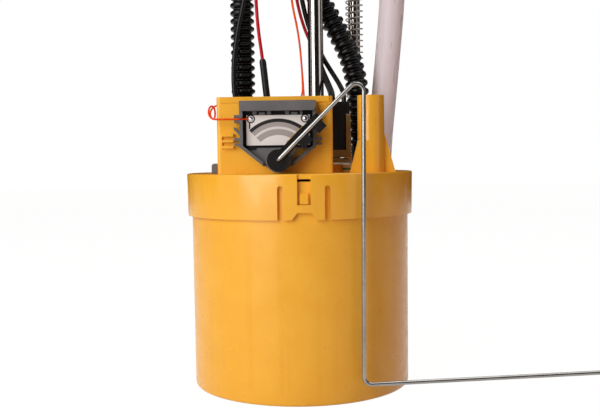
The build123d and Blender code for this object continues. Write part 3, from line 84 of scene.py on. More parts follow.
# Sizes of what hangs between lid and flange, in millimetres.
HOSE_CREST, HOSE_ROOT, HOSE_CUFF, HOSE_BORE = 6.0, 4.4, 5.1, 3.9
HOSE_PLAIN = 12.0           # length of the smooth cuff at each end of a hose
RIB_FADE = 1.2              # and of the stretch where its ribs fade into the cuff
FEED_PITCH, RETURN_PITCH = 3.9, 4.4
TUBE_R, TUBE_BORE = 6.7, 5.3
RED_R, BLACK_R, SENSOR_R = 0.85, 1.25, 0.45
SLEEVE_R, SLEEVE_TAPER = 1.7, 1.6
SLEEVE_MOUTH = 0.72         # share of its radius that a sleeve has at its very end
SPRING_AXIS = (31.4, 36.0)
SPRING_R, SPRING_WIRE, SPRING_TURNS = 4.5, 0.43, 58
SPRING_FOOT, SPRING_TOP = 118.4, 300.6
CLOSED_TURNS, CLOSED_RISE = 1.2, 1.1


# ---------------------------------------------------------------- finishes
def tone(r, g, b):
    """Linear colour of a screen tone whose parts go from 0 to 255."""
    parts = [v / 255 for v in (r, g, b)]
    linear = [v / 12.92 if v < 0.04 else ((v + 0.055) / 1.055) ** 2.4 for v in parts]
    return (*linear, 1.0)


class Finish:
    """A material made step by step: its shader, its object coordinates and its links."""

    def __init__(self, name, rough, metal=0.0, **sockets):
        self.material = bpy.data.materials.new(name)
        self.material.use_nodes = True
        self.tree = self.material.node_tree
        self.shader = self.tree.nodes["Principled BSDF"]
        self.shader.inputs["Roughness"].default_value = rough
        self.shader.inputs["Metallic"].default_value = metal
        for socket, value in sockets.items():
            self.shader.inputs[socket.replace("_", " ")].default_value = value
        self.place = self.node("ShaderNodeTexCoord").outputs["Object"]

    def node(self, kind, **values):
        """A new shader node with these settings."""
        made = self.tree.nodes.new(kind)
        for key, value in values.items():
            setattr(made, key, value)
        return made

    def link(self, source, target):
        """Joins an output to an input."""
        self.tree.links.new(source, target)

    def noise(self, size, detail=3.0, stretch=(1, 1, 1)):
        """Cloudy pattern with blobs about this many millimetres wide."""
        scaled = self.node("ShaderNodeMapping")
        scaled.inputs["Scale"].default_value = stretch
        self.link(self.place, scaled.inputs["Vector"])
        cloud = self.node("ShaderNodeTexNoise")
        cloud.inputs["Scale"].default_value = 1.0 / (size * MM)
        cloud.inputs["Detail"].default_value = detail
        self.link(scaled.outputs["Vector"], cloud.inputs["Vector"])
        return cloud.outputs["Fac"]

    def spread(self, value, low, high, start=0.3, end=0.7):
        """Maps a pattern's start and end to a low and a high number."""
        ranged = self.node("ShaderNodeMapRange")
        ends = {"From Min": start, "From Max": end, "To Min": low, "To Max": high}
        for socket, number in ends.items():
            ranged.inputs[socket].default_value = number
        self.link(value, ranged.inputs["Value"])
        return ranged.outputs["Result"]

    def blended(self, share, first, second):
        """Colour between two others by a pattern's share."""
        mix = self.node("ShaderNodeMix", data_type="RGBA")
        self.link(share, mix.inputs["Factor"])
        for socket, colour in ((mix.inputs[6], first), (mix.inputs[7], second)):
            if isinstance(colour, tuple):
                socket.default_value = colour
            else:
                self.link(colour, socket)
        return mix.outputs[2]

    def math(self, operation, first, second=0.0):
        """One sum or comparison of two patterns or numbers."""
        worked = self.node("ShaderNodeMath", operation=operation)
        for socket, value in zip(worked.inputs, (first, second)):
            if isinstance(value, (int, float)):
                socket.default_value = value
            else:
                self.link(value, socket)
        return worked.outputs[0]

    def colour(self, source):
        """Takes the base colour from a pattern."""
        self.link(source, self.shader.inputs["Base Color"])

    def roughness(self, source):
        """Takes the roughness from a pattern."""
        self.link(source, self.shader.inputs["Roughness"])

    def relief(self, height, depth):
        """Surface relief this many millimetres deep."""
        bump = self.node("ShaderNodeBump")
        bump.inputs["Strength"].default_value = 1.0
        bump.inputs["Distance"].default_value = depth * MM
        self.link(height, bump.inputs["Height"])
        self.link(bump.outputs["Normal"], self.shader.inputs["Normal"])


def moulded(name, pale, deep, rough, grain=0.4, depth=0.006, cloud=14.0, **sockets):
    """Moulded plastic or rubber: slow colour drift, uneven gloss and a fine skin."""
    finish = Finish(name, rough, **sockets)
    drift = finish.noise(cloud, 4.0)
    finish.colour(finish.blended(finish.spread(drift, 0.0, 1.0), tone(*pale), tone(*deep)))
    skin = finish.noise(grain, 5.0)
    finish.roughness(finish.spread(finish.noise(cloud * 0.4, 4.0), rough - 0.05, rough + 0.06))
    finish.relief(skin, depth)
    return finish.material


def metal(name, bright, dull, rough, grain=(1, 1, 1), size=0.6, depth=0.002):
    """Metal with a drawn or plated grain, which may be stretched one way, and faint stains."""
    finish = Finish(name, rough, metal=1.0)
    lines = finish.noise(size, 4.0, grain)
    stains = finish.noise(9.0, 4.0)
    finish.colour(finish.blended(finish.spread(stains, 0.0, 1.0), tone(*bright), tone(*dull)))
    finish.roughness(finish.spread(lines, rough - 0.04, rough + 0.06))
    if depth:
        finish.relief(lines, depth)
    return finish.material


# The card's print, in millimetres across and up from the arm's axis.
PADS_ACROSS, PADS_UP = (-12.7, 12.9), 19.6
PAD_RING, RING_INK = 1.75, 0.3
LINE_MIDDLE, LINE_HALF = (-13.3, 16.4), (0.35, 1.5)
TRACK_HALF_ANGLE = 43.5
PRINT_FROM, PRINT_TO = 10.0, 22.0


def near(finish, value, middle, reach):
    """One where a value in metres is less than a reach from a middle, both in millimetres."""
    off = finish.math("ABSOLUTE", finish.math("SUBTRACT", value, middle * MM))
    return finish.math("LESS_THAN", off, reach * MM)


def pad_marks(finish, across, up):
    """Share of ink by the card's solder pads: a ring where the distance from a pad is near
    the ring's radius, and a short upright line under the left pad."""
    marks = 0.0
    for pad in PADS_ACROSS:
        x = finish.math("SUBTRACT", across, pad * MM)
        z = finish.math("SUBTRACT", up, PADS_UP * MM)
        square = finish.math("ADD", finish.math("MULTIPLY", x, x), finish.math("MULTIPLY", z, z))
        ring = near(finish, finish.math("SQRT", square), PAD_RING, RING_INK)
        marks = finish.math("MAXIMUM", marks, ring)
    line = finish.math("MULTIPLY", near(finish, across, LINE_MIDDLE[0], LINE_HALF[0]),
                       near(finish, up, LINE_MIDDLE[1], LINE_HALF[1]))
    return finish.math("MAXIMUM", marks, line)


def track_bands(finish, away, white):
    """Colour by a distance from the arm's axis: from the inside out they are a grey track,
    a light one, a grey one and a dark arc, with white before and after them."""
    grey, light, dark = tone(168, 162, 160), tone(226, 222, 220), tone(20, 16, 15)
    bands = finish.node("ShaderNodeValToRGB")
    ramp = bands.color_ramp
    ramp.interpolation = "CONSTANT"
    ramp.elements[0].color = white
    ramp.elements.remove(ramp.elements[1])
    for start, colour in ((11.9, grey), (14.7, light), (15.9, grey), (18.0, dark), (19.65, white)):
        ramp.elements.new((start - PRINT_FROM) / (PRINT_TO - PRINT_FROM)).color = colour
    share = finish.spread(away, 0.0, 1.0, PRINT_FROM * MM, PRINT_TO * MM)
    finish.link(share, bands.inputs["Fac"])
    return bands.outputs["Color"]


def card_ceramic():
    """White ceramic with its printed resistor: the tracks lie within an angle on both sides of
    straight up from the arm's axis, and the solder pads have their marks."""
    finish = Finish("ceramic_card", 0.35)
    flat = finish.node("ShaderNodeVectorMath", operation="MULTIPLY")
    flat.inputs[1].default_value = (1.0, 0.0, 1.0)
    finish.link(finish.place, flat.inputs[0])
    centred = finish.node("ShaderNodeVectorMath", operation="SUBTRACT")
    centred.inputs[1].default_value = (PIVOT[0] * MM, 0.0, PIVOT[1] * MM)
    finish.link(flat.outputs[0], centred.inputs[0])
    parts = finish.node("ShaderNodeSeparateXYZ")
    finish.link(centred.outputs[0], parts.inputs[0])
    length = finish.node("ShaderNodeVectorMath", operation="LENGTH")
    finish.link(centred.outputs[0], length.inputs[0])
    angle = finish.math("ARCTAN2", parts.outputs["Z"], parts.outputs["X"])
    off_middle = finish.math("ABSOLUTE", finish.math("SUBTRACT", angle, pi / 2))
    inside = finish.math("LESS_THAN", off_middle, radians(TRACK_HALF_ANGLE))
    white = tone(236, 234, 232)
    plain = finish.blended(finish.noise(3.0), white, tone(228, 226, 224))
    tracks = track_bands(finish, length.outputs["Value"], white)
    printed = finish.blended(inside, plain, tracks)
    marks = pad_marks(finish, parts.outputs["X"], parts.outputs["Z"])
    finish.colour(finish.blended(marks, printed, tone(24, 20, 19)))
    finish.roughness(finish.spread(finish.noise(1.2), 0.3, 0.42))
    finish.relief(finish.math("ADD", finish.noise(0.3), inside), 0.01)
    return finish.material


WAVE_LENGTH = 0.314         # a wave texture's pitch in metres at a scale of 1


def woven(name, pale, deep, pitch):
    """Fine square weave of a strainer: the product of two waves, one along X and one along Y."""
    finish = Finish(name, 0.7)
    waves = []
    for way in ("X", "Y"):
        wave = finish.node("ShaderNodeTexWave", bands_direction=way)
        wave.inputs["Scale"].default_value = WAVE_LENGTH / (pitch * MM)
        finish.link(finish.place, wave.inputs["Vector"])
        waves.append(wave.outputs["Fac"])
    cloth = finish.math("MULTIPLY", waves[0], waves[1])
    finish.colour(finish.blended(cloth, tone(*deep), tone(*pale)))
    finish.relief(cloth, 0.05)
    return finish.material


YELLOW = (247, 186, 58), (243, 179, 50)
ACETAL = moulded("acetal_yellow", *YELLOW, 0.3, grain=0.35, depth=0.002, Specular_IOR_Level=0.36)
LID_ACETAL = moulded("acetal_polished", *YELLOW, 0.2, grain=0.35, depth=0.001,
                     Specular_IOR_Level=0.42)
BLACK_NYLON = moulded("nylon_black", (24, 22, 21), (15, 14, 13), 0.36, grain=0.25, depth=0.01,
                      Specular_IOR_Level=0.22)
GREY_NYLON = moulded("nylon_grey", (108, 108, 109), (95, 95, 97), 0.42, grain=0.2, depth=0.012,
                     Specular_IOR_Level=0.35)
# The card tray's near black is painted shade: it stands in for the shade in the gaps round the card.
TRAY_PAINTED_SHADE = moulded("tray_painted_shade", (20, 18, 17), (12, 11, 10), 0.5, grain=0.25, depth=0.01,
                     Specular_IOR_Level=0.15)
NATURAL_NYLON = moulded("nylon_natural", (150, 138, 96), (134, 121, 80), 0.38, cloud=8.0,
                        Specular_IOR_Level=0.25)
WHITE_NYLON = moulded("nylon_white", (236, 235, 230), (224, 223, 217), 0.4)
RUBBER = moulded("rubber_black", (26, 26, 27), (18, 18, 19), 0.62, grain=0.3, depth=0.02,
                 Specular_IOR_Level=0.25)
GREEN_RUBBER = moulded("rubber_green", (40, 120, 62), (30, 100, 50), 0.45, grain=0.3)
HOSE_NYLON = moulded("hose_black", (12, 11, 11), (6, 6, 6), 0.24, grain=0.5, depth=0.006,
                     Specular_IOR_Level=0.22)
FLOAT_FOAM = moulded("float_foam", (38, 38, 39), (28, 28, 29), 0.72, grain=0.5, depth=0.05)
PHENOLIC = moulded("phenolic_brown", (74, 50, 34), (58, 38, 26), 0.45)
FERRITE = moulded("ferrite_grey", (66, 66, 69), (54, 54, 57), 0.6)
CARBON = moulded("carbon_black", (40, 40, 41), (30, 30, 31), 0.55)
RED_PVC = moulded("insulation_red", (204, 12, 38), (180, 6, 28), 0.3, cloud=6.0, depth=0.002,
                  Specular_IOR_Level=0.2)
BLACK_PVC = moulded("insulation_black", (16, 15, 15), (9, 9, 9), 0.3, cloud=6.0, depth=0.002,
                    Specular_IOR_Level=0.22)
ORANGE_PVC = moulded("insulation_orange", (244, 86, 16), (226, 70, 8), 0.34, cloud=6.0, depth=0.002,
                     Specular_IOR_Level=0.15)
SLEEVE = moulded("shrink_sleeve", (22, 21, 21), (13, 12, 12), 0.42, grain=0.4, depth=0.01,
                 Specular_IOR_Level=0.25)
STEEL_WIRE = metal("steel_drawn", (158, 155, 150), (140, 136, 132), 0.2, (1, 1, 1), 1.2, 0.0)
PLATED = metal("steel_plated", (182, 179, 174), (162, 158, 152), 0.26)
CHROME = metal("chrome_bright", (204, 198, 192), (190, 183, 176), 0.1, (1, 1, 0.05), 0.4, 0.0003)
ALUMINIUM = metal("aluminium_cast", (190, 191, 194), (172, 173, 177), 0.42, size=0.5, depth=0.02)
BRASS = metal("brass_sprung", (214, 176, 96), (190, 150, 76), 0.3)
TINNED = metal("tin_plate", (196, 195, 190), (178, 177, 172), 0.32)
BRIGHT_TIN = metal("tin_bright", (232, 231, 226), (216, 214, 208), 0.36)
SOLDER = metal("solder_bright", (214, 214, 216), (190, 190, 193), 0.25, size=1.0, depth=0.02)
CERAMIC = card_ceramic()
WEAVE = woven("strainer_weave", (222, 222, 214), (188, 188, 178), 0.5)


def clear_tube():
    """Translucent nylon: milky, with very faint lengthwise streaks."""
    finish = Finish("tube_clear", 0.3, Transmission_Weight=0.4, IOR=1.3, Specular_IOR_Level=0.3)
    streaks = finish.noise(4.0, 3.0, (1, 1, 0.05))
    share = finish.spread(streaks, 0.0, 1.0)
    finish.colour(finish.blended(share, tone(251, 244, 247), tone(245, 237, 241)))
    finish.roughness(finish.spread(streaks, 0.26, 0.34))
    finish.relief(streaks, 0.002)
    return finish.material


CLEAR = clear_tube()


# ---------------------------------------------------------------- mesh tools
def piece_of(mesh, name, material, body, nodes=(), smooth=38.0):
    """Piece of a mesh, with its material: it rides on a body and stands for CAD nodes."""
    mesh.polygons.foreach_set("use_smooth", np.ones(len(mesh.polygons), dtype=bool))
    mesh.set_sharp_from_angle(angle=radians(smooth))
    piece = bpy.data.objects.new(name, mesh)
    bpy.context.scene.collection.objects.link(piece)
    piece.data.materials.clear()
    piece.data.materials.append(material)
    if body:
        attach(piece, body)
    if nodes:
        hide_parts(*nodes)
    return piece


def grid_mesh(name, x, y, z, round_cols=True, close=False):
    """Mesh of a grid of points in millimetres: quads between its rows and columns, and the last
    column joined to the first where the columns go round."""
    rows, cols = x.shape
    index = np.arange(rows * cols).reshape(rows, cols)
    right = np.roll(index, -1, axis=1) if round_cols else index[:, 1:]
    left = index if round_cols else index[:, :-1]
    quads = np.stack([left[:-1], right[:-1], right[1:], left[1:]], axis=-1).reshape(-1, 4)
    verts = np.stack([x, y, z], axis=-1).reshape(-1, 3) * MM
    mesh = bpy.data.meshes.new(name)
    mesh.from_pydata(verts.tolist(), [], quads.tolist())
    merge(mesh, close)
    return mesh


def merge(mesh, close=False):
    """Merges doubles, and on request closes the open ends and turns the faces outwards."""
    work = bmesh.new()
    work.from_mesh(mesh)
    bmesh.ops.remove_doubles(work, verts=work.verts, dist=2e-7)
    bmesh.ops.dissolve_degenerate(work, edges=work.edges, dist=1e-8)
    if close:
        open_edges = [e for e in work.edges if e.is_boundary]
        bmesh.ops.holes_fill(work, edges=open_edges)
        bmesh.ops.recalc_face_normals(work, faces=work.faces)
    work.to_mesh(mesh)
    work.free()


def face_outwards(mesh):
    """Turns the faces of a closed mesh outwards."""
    work = bmesh.new()
    work.from_mesh(mesh)
    bmesh.ops.recalc_face_normals(work, faces=work.faces)
    work.to_mesh(mesh)
    work.free()


def from_cad(node, material, edge, smooth=32.0):
    """Copy of a CAD node, its doubles merged and its flat faces joined, with its edges eased."""
    name = node + "_piece"
    source = frame["nodes"][node]
    mesh = source.data.copy()
    work = bmesh.new()
    work.from_mesh(mesh)
    bmesh.ops.remove_doubles(work, verts=work.verts, dist=1e-6)
    bmesh.ops.dissolve_limit(work, angle_limit=radians(0.6), verts=work.verts, edges=work.edges)
    work.to_mesh(mesh)
    work.free()
    mesh.name = name
    for attribute in [a.name for a in mesh.attributes if "custom_normal" in a.name]:
        mesh.attributes.remove(mesh.attributes[attribute])
    piece = piece_of(mesh, name, material, source["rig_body"], (node,), smooth)
    if edge:
        eased_edges(piece, edge)
    return piece


# ---------------------------------------------------------------- soft lines: hoses, leads, spring
def soft_line(name, points):
    """Points along a smooth NURBS line whose control points are given in millimetres."""
    curve = bpy.data.curves.new(name, "CURVE")
    curve.dimensions = "3D"
    spline = curve.splines.new("NURBS")
    spline.points.add(len(points) - 1)
    for point, place in zip(spline.points, points):
        point.co = (*(Vector(place) * MM), 1.0)
    spline.order_u = 3
    spline.use_endpoint_u = True
    spline.resolution_u = 10
    line = bpy.data.objects.new(name, curve)
    mesh = bpy.data.meshes.new_from_object(line)
    path = np.zeros(len(mesh.vertices) * 3)
    mesh.vertices.foreach_get("co", path)
    bpy.data.objects.remove(line)
    bpy.data.curves.remove(curve)
    bpy.data.meshes.remove(mesh)
    return path.reshape(-1, 3) / MM


def along(path, step):
    """The path resampled at even steps of its own length, with its directions there."""
    runs = np.linalg.norm(np.diff(path, axis=0), axis=1)
    reach = np.concatenate([[0], np.cumsum(runs)])
    count = max(int(round(reach[-1] / step)), 4)
    s = np.linspace(0, reach[-1], count + 1)
    places = np.stack([np.interp(s, reach, path[:, k]) for k in range(3)], axis=1)
    ways = np.gradient(places, s, axis=0)
    return s, places, ways / np.linalg.norm(ways, axis=1)[:, None]


def carried(name, s, places, ways, radius, aside, sides, inner=None):
    """Round section carried along a path: a ring of the given radius, square to the path, at each
    place. With an inner radius, the rings come back inside and close the wall at both ends."""
    across = np.cross(ways, np.array(aside, float))
    across /= np.linalg.norm(across, axis=1)[:, None]
    over = np.cross(ways, across)
    a = np.linspace(0, 2 * pi, sides, endpoint=False)
    skins = [np.broadcast_to(radius, s.shape)]
    if inner is not None:
        skins.append(np.broadcast_to(inner, s.shape))
    rings = []
    for skin, way in zip(skins, (1, -1)):
        ring = places[:, None] + skin[:, None, None] * (
            across[:, None] * np.cos(a)[None, :, None] + over[:, None] * np.sin(a)[None, :, None])
        rings.append(ring[::way])
    if inner is not None:
        rings.append(rings[0][:1])
    whole = np.concatenate(rings)
    mesh = grid_mesh(name, *np.moveaxis(whole, -1, 0), close=inner is None)
    face_outwards(mesh)
    return mesh


def follows_flange(piece, foot=HOSE_FROM):
    """Hoses, leads and the spring stay with the lid below their foot and follow the flange
    above it."""
    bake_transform(piece, "reservoir", "flange", start=(0, 0, foot * MM), end=(0, 0, HOSE_TO * MM))


def corrugated(name, node, points, pitch):
    """Corrugated hose: its radius is a cosine wave along its length, raised to a power so that
    the crests are broad and the roots narrow, and it fades to a smooth cuff at both ends."""
    line = np.array(points, float) if len(points) == 2 else soft_line(name, points)
    s, places, ways = along(line, 0.3)
    wave = 0.5 + 0.5 * np.cos(2 * pi * s / pitch)
    crest = 1 - (1 - wave) ** 1.8
    ribbed = np.clip(np.minimum(s - HOSE_PLAIN, s[-1] - HOSE_PLAIN - s) / RIB_FADE, 0, 1)
    radius = np.where(ribbed > 0, HOSE_ROOT + (HOSE_CREST - HOSE_ROOT) * crest * ribbed, HOSE_CUFF)
    radius = np.minimum(radius + (1 - ribbed) * (HOSE_CUFF - HOSE_ROOT) * 0.6, HOSE_CREST)
    mesh = carried(name, s, places, ways, radius, (0, 1, 0), 36, HOSE_BORE)
    piece = piece_of(mesh, name, HOSE_NYLON, None, (node,), 60)
    follows_flange(piece)


def lead(name, node, points, radius, material, slot, aside, foot=HOSE_FROM):
    """Insulated lead along its smooth line, its radius very slightly uneven."""
    s, places, ways = along(soft_line(name, points), 1.2)
    wobble = radius * (1 + 0.015 * np.sin(s * 0.7) * np.sin(s * 0.23))
    mesh = carried(name, s, places, ways, wobble, aside, 14)
    piece = piece_of(mesh, name, material, None, (node,), 70)
    follows_flange(piece, foot)


PLUG_FOOT = 299.0           # underside of the plug below the flange

# Control points of each line, from the flange down for leads and from the lid up for hoses.
FEED_HOSE = [(-27.8, -10.0, 110.6), (-27.8, -10.0, 307.6)]
RETURN_HOSE = [
    (33.6, 10.0, 110.6), (33.3, 10.0, 120), (31.9, 10.0, 133), (31.6, 11.0, 152),
    (28.0, 14.0, 169), (20.4, 16.2, 184.6), (12.0, 17.4, 199.4), (3.0, 18.2, 215),
    (-6.0, 18.5, 238), (-6.0, 18.5, 307.6),
]
VENT_TUBE = [
    (43.3, 22.0, 110.6), (43.3, 22.0, 120), (46.6, 22.0, 151), (51.4, 22.0, 200),
    (52.4, 21.4, 235), (46.5, 20.0, 276), (46.5, 20.0, 307.6),
]
PUMP_RED = [
    (-13.0, -17.0, PLUG_FOOT), (-13.0, -17.0, 268), (-16.5, -17.2, 236), (-20.8, -17.3, 203),
    (-19.8, -17.1, 181), (-17.6, -16.6, 165), (-16.0, -15.8, 148), (-13.7, -14.5, 128),
    (-13.7, -14.5, 96), (-13.7, 3.9, 95.0),
]
PUMP_BLACK = [
    (-16.5, -17.2, PLUG_FOOT), (-16.5, -17.2, 262), (-20.5, -17.9, 228), (-25.8, -18.0, 195),
    (-30.0, -17.9, 178), (-32.3, -17.8, 160), (-31.6, -17.6, 143), (-25.5, -17.2, 130),
    (-17.5, -14.5, 121), (-17.5, -14.5, 96.5), (-17.5, 3.9, 95.0),
]
PLUG_RED = [
    (-6.0, -15.0, PLUG_FOOT), (-6.0, -15.0, 270), (-5.0, -6.0, 244), (-3.0, 5.0, 216),
    (1.3, 12.0, 189), (9.6, 12.2, 170), (12.6, 8.0, 161), (15.2, 1.5, 154), (16.8, -6.0, 149.0),
    (16.9, -9.5, 146.0), (16.9, -9.5, 141.2),
]
PLUG_BLACK = [
    (-3.0, -15.0, PLUG_FOOT), (-3.0, -15.0, 266), (-2.2, -6.0, 240), (0.0, 5.0, 213),
    (4.6, 13.2, 187), (12.4, 13.4, 170), (17.6, 7.4, 160.5), (21.0, 0.0, 154.0),
    (22.9, -6.4, 149.0), (23.0, -9.5, 146.0), (23.0, -9.5, 141.2),
]
SIGNAL = [
    (-8.6, -16.6, PLUG_FOOT), (-8.6, -16.6, 262), (-6.0, -16.8, 226), (-3.2, -17.0, 194),
    (0.7, -17.2, 176), (2.1, -17.6, 156), (2.2, -18.2, 146.4), (-1.6, -19.6, 142.4),
    (-20.0, -19.9, 142.4), (-39.0, -19.4, 142.4), (-42.0, -21.3, 141.8), (-43.7, -26.0, 138.2),
    (-41.7, -30.2, 134.4), (-40.0, -33.2, 136.2), (-40.2, -35.6, 140.6), (-42.1, -37.6, 141.2),
    (-43.0, -39.6, 137.6), (-41.2, -42.0, 134.5), (-37.2, -42.8, 134.3), (-23.7, -42.8, 134.4),
]
GROUND = [
    (-8.4, -18.2, PLUG_FOOT), (-8.4, -18.2, 262), (-5.8, -18.3, 226), (-3.0, -18.4, 194),
    (0.8, -18.6, 176), (2.3, -19.2, 154), (3.0, -20.0, 141), (3.0, -27.0, 134.4),
    (3.0, -41.5, 134.4),
]


def sleeve(name, points, start, end, foot=HOSE_FROM):
    """Heat-shrink sleeve over a stretch of a lead: its radius grows from each end with the
    square root of the way from that end, up to the end of the taper."""
    s, places, ways = along(soft_line(name, points), 0.8)
    keep = (s >= start) & (s <= end)
    s, places, ways = s[keep], places[keep], ways[keep]
    from_end = np.minimum(s - s[0], s[-1] - s)
    full = np.clip(from_end / SLEEVE_TAPER, 0, 1) ** 0.5
    skin = SLEEVE_R * (SLEEVE_MOUTH + (1 - SLEEVE_MOUTH) * full)
    mesh = carried(name, s, places, ways, skin, (0, 1, 0.02), 20)
    piece = piece_of(mesh, name, SLEEVE, None, (), 60)
    follows_flange(piece, foot)


def hoses():
    """The two corrugated hoses and the smooth clear tube."""
    corrugated("feed_hose_corrugated", "feed_hose", FEED_HOSE, FEED_PITCH)
    corrugated("return_hose_corrugated", "return_hose", RETURN_HOSE, RETURN_PITCH)
    s, places, ways = along(soft_line("vent_tube_smooth", VENT_TUBE), 2.5)
    mesh = carried("vent_tube_smooth", s, places, ways, TUBE_R, (0, 1, 0), 48, TUBE_BORE)
    tube = piece_of(mesh, "vent_tube_smooth", CLEAR, None, ("vent_tube",), 60)
    follows_flange(tube)


def leads():
    """The leads to the pump, to the plug on the lid and to the sensor's card."""
    red, black = (RED_R, RED_PVC, "red_pvc"), (BLACK_R, BLACK_PVC, "black_pvc")
    orange = (SENSOR_R, ORANGE_PVC, "orange_pvc")
    lead("pump_lead_red_wire", "pump_lead_red", PUMP_RED, *red, (1, 0, 0.02))
    lead("pump_lead_black_wire", "pump_lead_black", PUMP_BLACK, *black, (1, 0.02, 0.02))
    lead("plug_lead_red_wire", "plug_lead_red", PLUG_RED, *red, (1, 0, 0.1), PLUG_TOP)
    lead("plug_lead_black_wire", "plug_lead_black", PLUG_BLACK, *black, (1, 0, 0.1), PLUG_TOP)
    lead("sensor_signal_wire", "sensor_lead_signal", SIGNAL, *orange, (0, 0.3, 1), CARRIER_TOP)
    lead("sensor_ground_wire", "sensor_lead_ground", GROUND, *orange, (1, 0, 0.1), CARRIER_TOP)


def sleeves():
    """Shrink sleeves over the lower ends of the red leads to the pump and to the plug."""
    sleeve("pump_red_sleeve", PUMP_RED, 134.0, 182.0)
    sleeve("plug_red_sleeve", PLUG_RED, 134.0, 170.0, PLUG_TOP)


def spring():
    """Coil spring: a round wire on a helix. Its rise goes evenly with the turns, and its first
    and last turns are closed up."""
    a = np.linspace(0, 2 * pi * SPRING_TURNS, SPRING_TURNS * 24 + 1)
    length = SPRING_TOP - SPRING_FOOT
    rise = np.interp(a / (2 * pi), [0, CLOSED_TURNS, SPRING_TURNS - CLOSED_TURNS, SPRING_TURNS],
                     [0, CLOSED_RISE, length - CLOSED_RISE, length])
    places = np.stack([SPRING_AXIS[0] + SPRING_R * np.cos(a), SPRING_AXIS[1] + SPRING_R * np.sin(a),
                       SPRING_FOOT + rise], axis=1)
    ways = np.gradient(places, a, axis=0)
    ways /= np.linalg.norm(ways, axis=1)[:, None]
    out = np.stack([np.cos(a), np.sin(a), 0 * a], axis=1)
    over = np.cross(ways, out)
    b = np.linspace(0, 2 * pi, 8, endpoint=False)
    ring = places[:, None] + SPRING_WIRE * (
        out[:, None] * np.cos(b)[None, :, None] + over[:, None] * np.sin(b)[None, :, None])
    mesh = grid_mesh("coil_spring", *np.moveaxis(ring, -1, 0), close=True)
    piece = piece_of(mesh, "coil_spring", PLATED, None, ("rod_spring",), 70)
    follows_flange(piece)


# ---------------------------------------------------------------- rigid pieces
def moved(piece, change):
    """Moves a piece's corners by a function of their places in millimetres."""
    places = np.zeros(len(piece.data.vertices) * 3)
    piece.data.vertices.foreach_get("co", places)
    places = change(places.reshape(-1, 3) / MM) * MM
    piece.data.vertices.foreach_set("co", places.ravel())
    piece.data.update()


def trim_jaws(places):
    """Corners in front of the jaws' plane go back to it."""
    places[:, 1] = np.maximum(places[:, 1], JAW_FRONT)
    return places


def lift_clips(places):
    """The clips' feet in front of the card go up to its edge."""
    foot = (places[:, 1] < CARD_FACE) & (places[:, 2] > CARD_TOP - 2) & (places[:, 2] < CARD_TOP)
    places[foot, 2] = CARD_TOP + 0.05
    return places


def grey_clips(tray):
    """The tray's clips in front of the card are the housing's grey; the rest of the tray stays near black,
    which is painted shade in the gaps round the card.
    """
    faces = tray.data.polygons
    middles = np.zeros(len(faces) * 3)
    faces.foreach_get("center", middles)
    tray.data.materials.append(GREY_NYLON)
    in_front = middles.reshape(-1, 3)[:, 1] < (CARD_FACE - 0.1) * MM
    faces.foreach_set("material_index", in_front.astype(int))


def boxes_mesh(name, boxes):
    """Boxes from pairs of corners: each of a box's eight points takes one end or the other
    on every axis."""
    ends = np.array(boxes, float).reshape(-1, 2, 3)
    pick = np.indices((2, 2, 2)).reshape(3, 8).T
    points = np.stack([ends[:, pick[:, k], k] for k in range(3)], axis=-1).reshape(-1, 3) * MM
    sides = np.array([[0, 1, 3, 2], [4, 6, 7, 5], [0, 4, 5, 1],
                      [2, 3, 7, 6], [0, 2, 6, 4], [1, 5, 7, 3]])
    quads = (sides[None] + 8 * np.arange(len(ends))[:, None, None]).reshape(-1, 4)
    mesh = bpy.data.meshes.new(name)
    mesh.from_pydata(points.tolist(), [], quads.tolist())
    return mesh


def eased_edges(piece, width):
    """Small round on every edge sharper than 40 degrees."""
    bevel = piece.modifiers.new("eased_edges", "BEVEL")
    bevel.width = width * MM
    bevel.segments = 2
    bevel.limit_method = "ANGLE"
    bevel.angle_limit = radians(40)
    bevel.harden_normals = False


def grip_ribs():
    """Three grip ribs on the carrier's face and the short spine that joins them."""
    left, right, front, wall = -36.4, -30.9, -41.0, -38.6
    ribs = [((left, front, middle - height / 2), (right, wall, middle + height / 2))
            for middle, height in ((126.9, 1.5), (124.1, 1.2), (121.2, 1.4))]
    ribs.append(((left - 0.9, front + 1.0, 120.5), (left + 0.1, wall, 127.6)))
    mesh = boxes_mesh("carrier_grip_ribs", ribs)
    piece = piece_of(mesh, "carrier_grip_ribs", ACETAL, "reservoir")
    eased_edges(piece, 0.3)


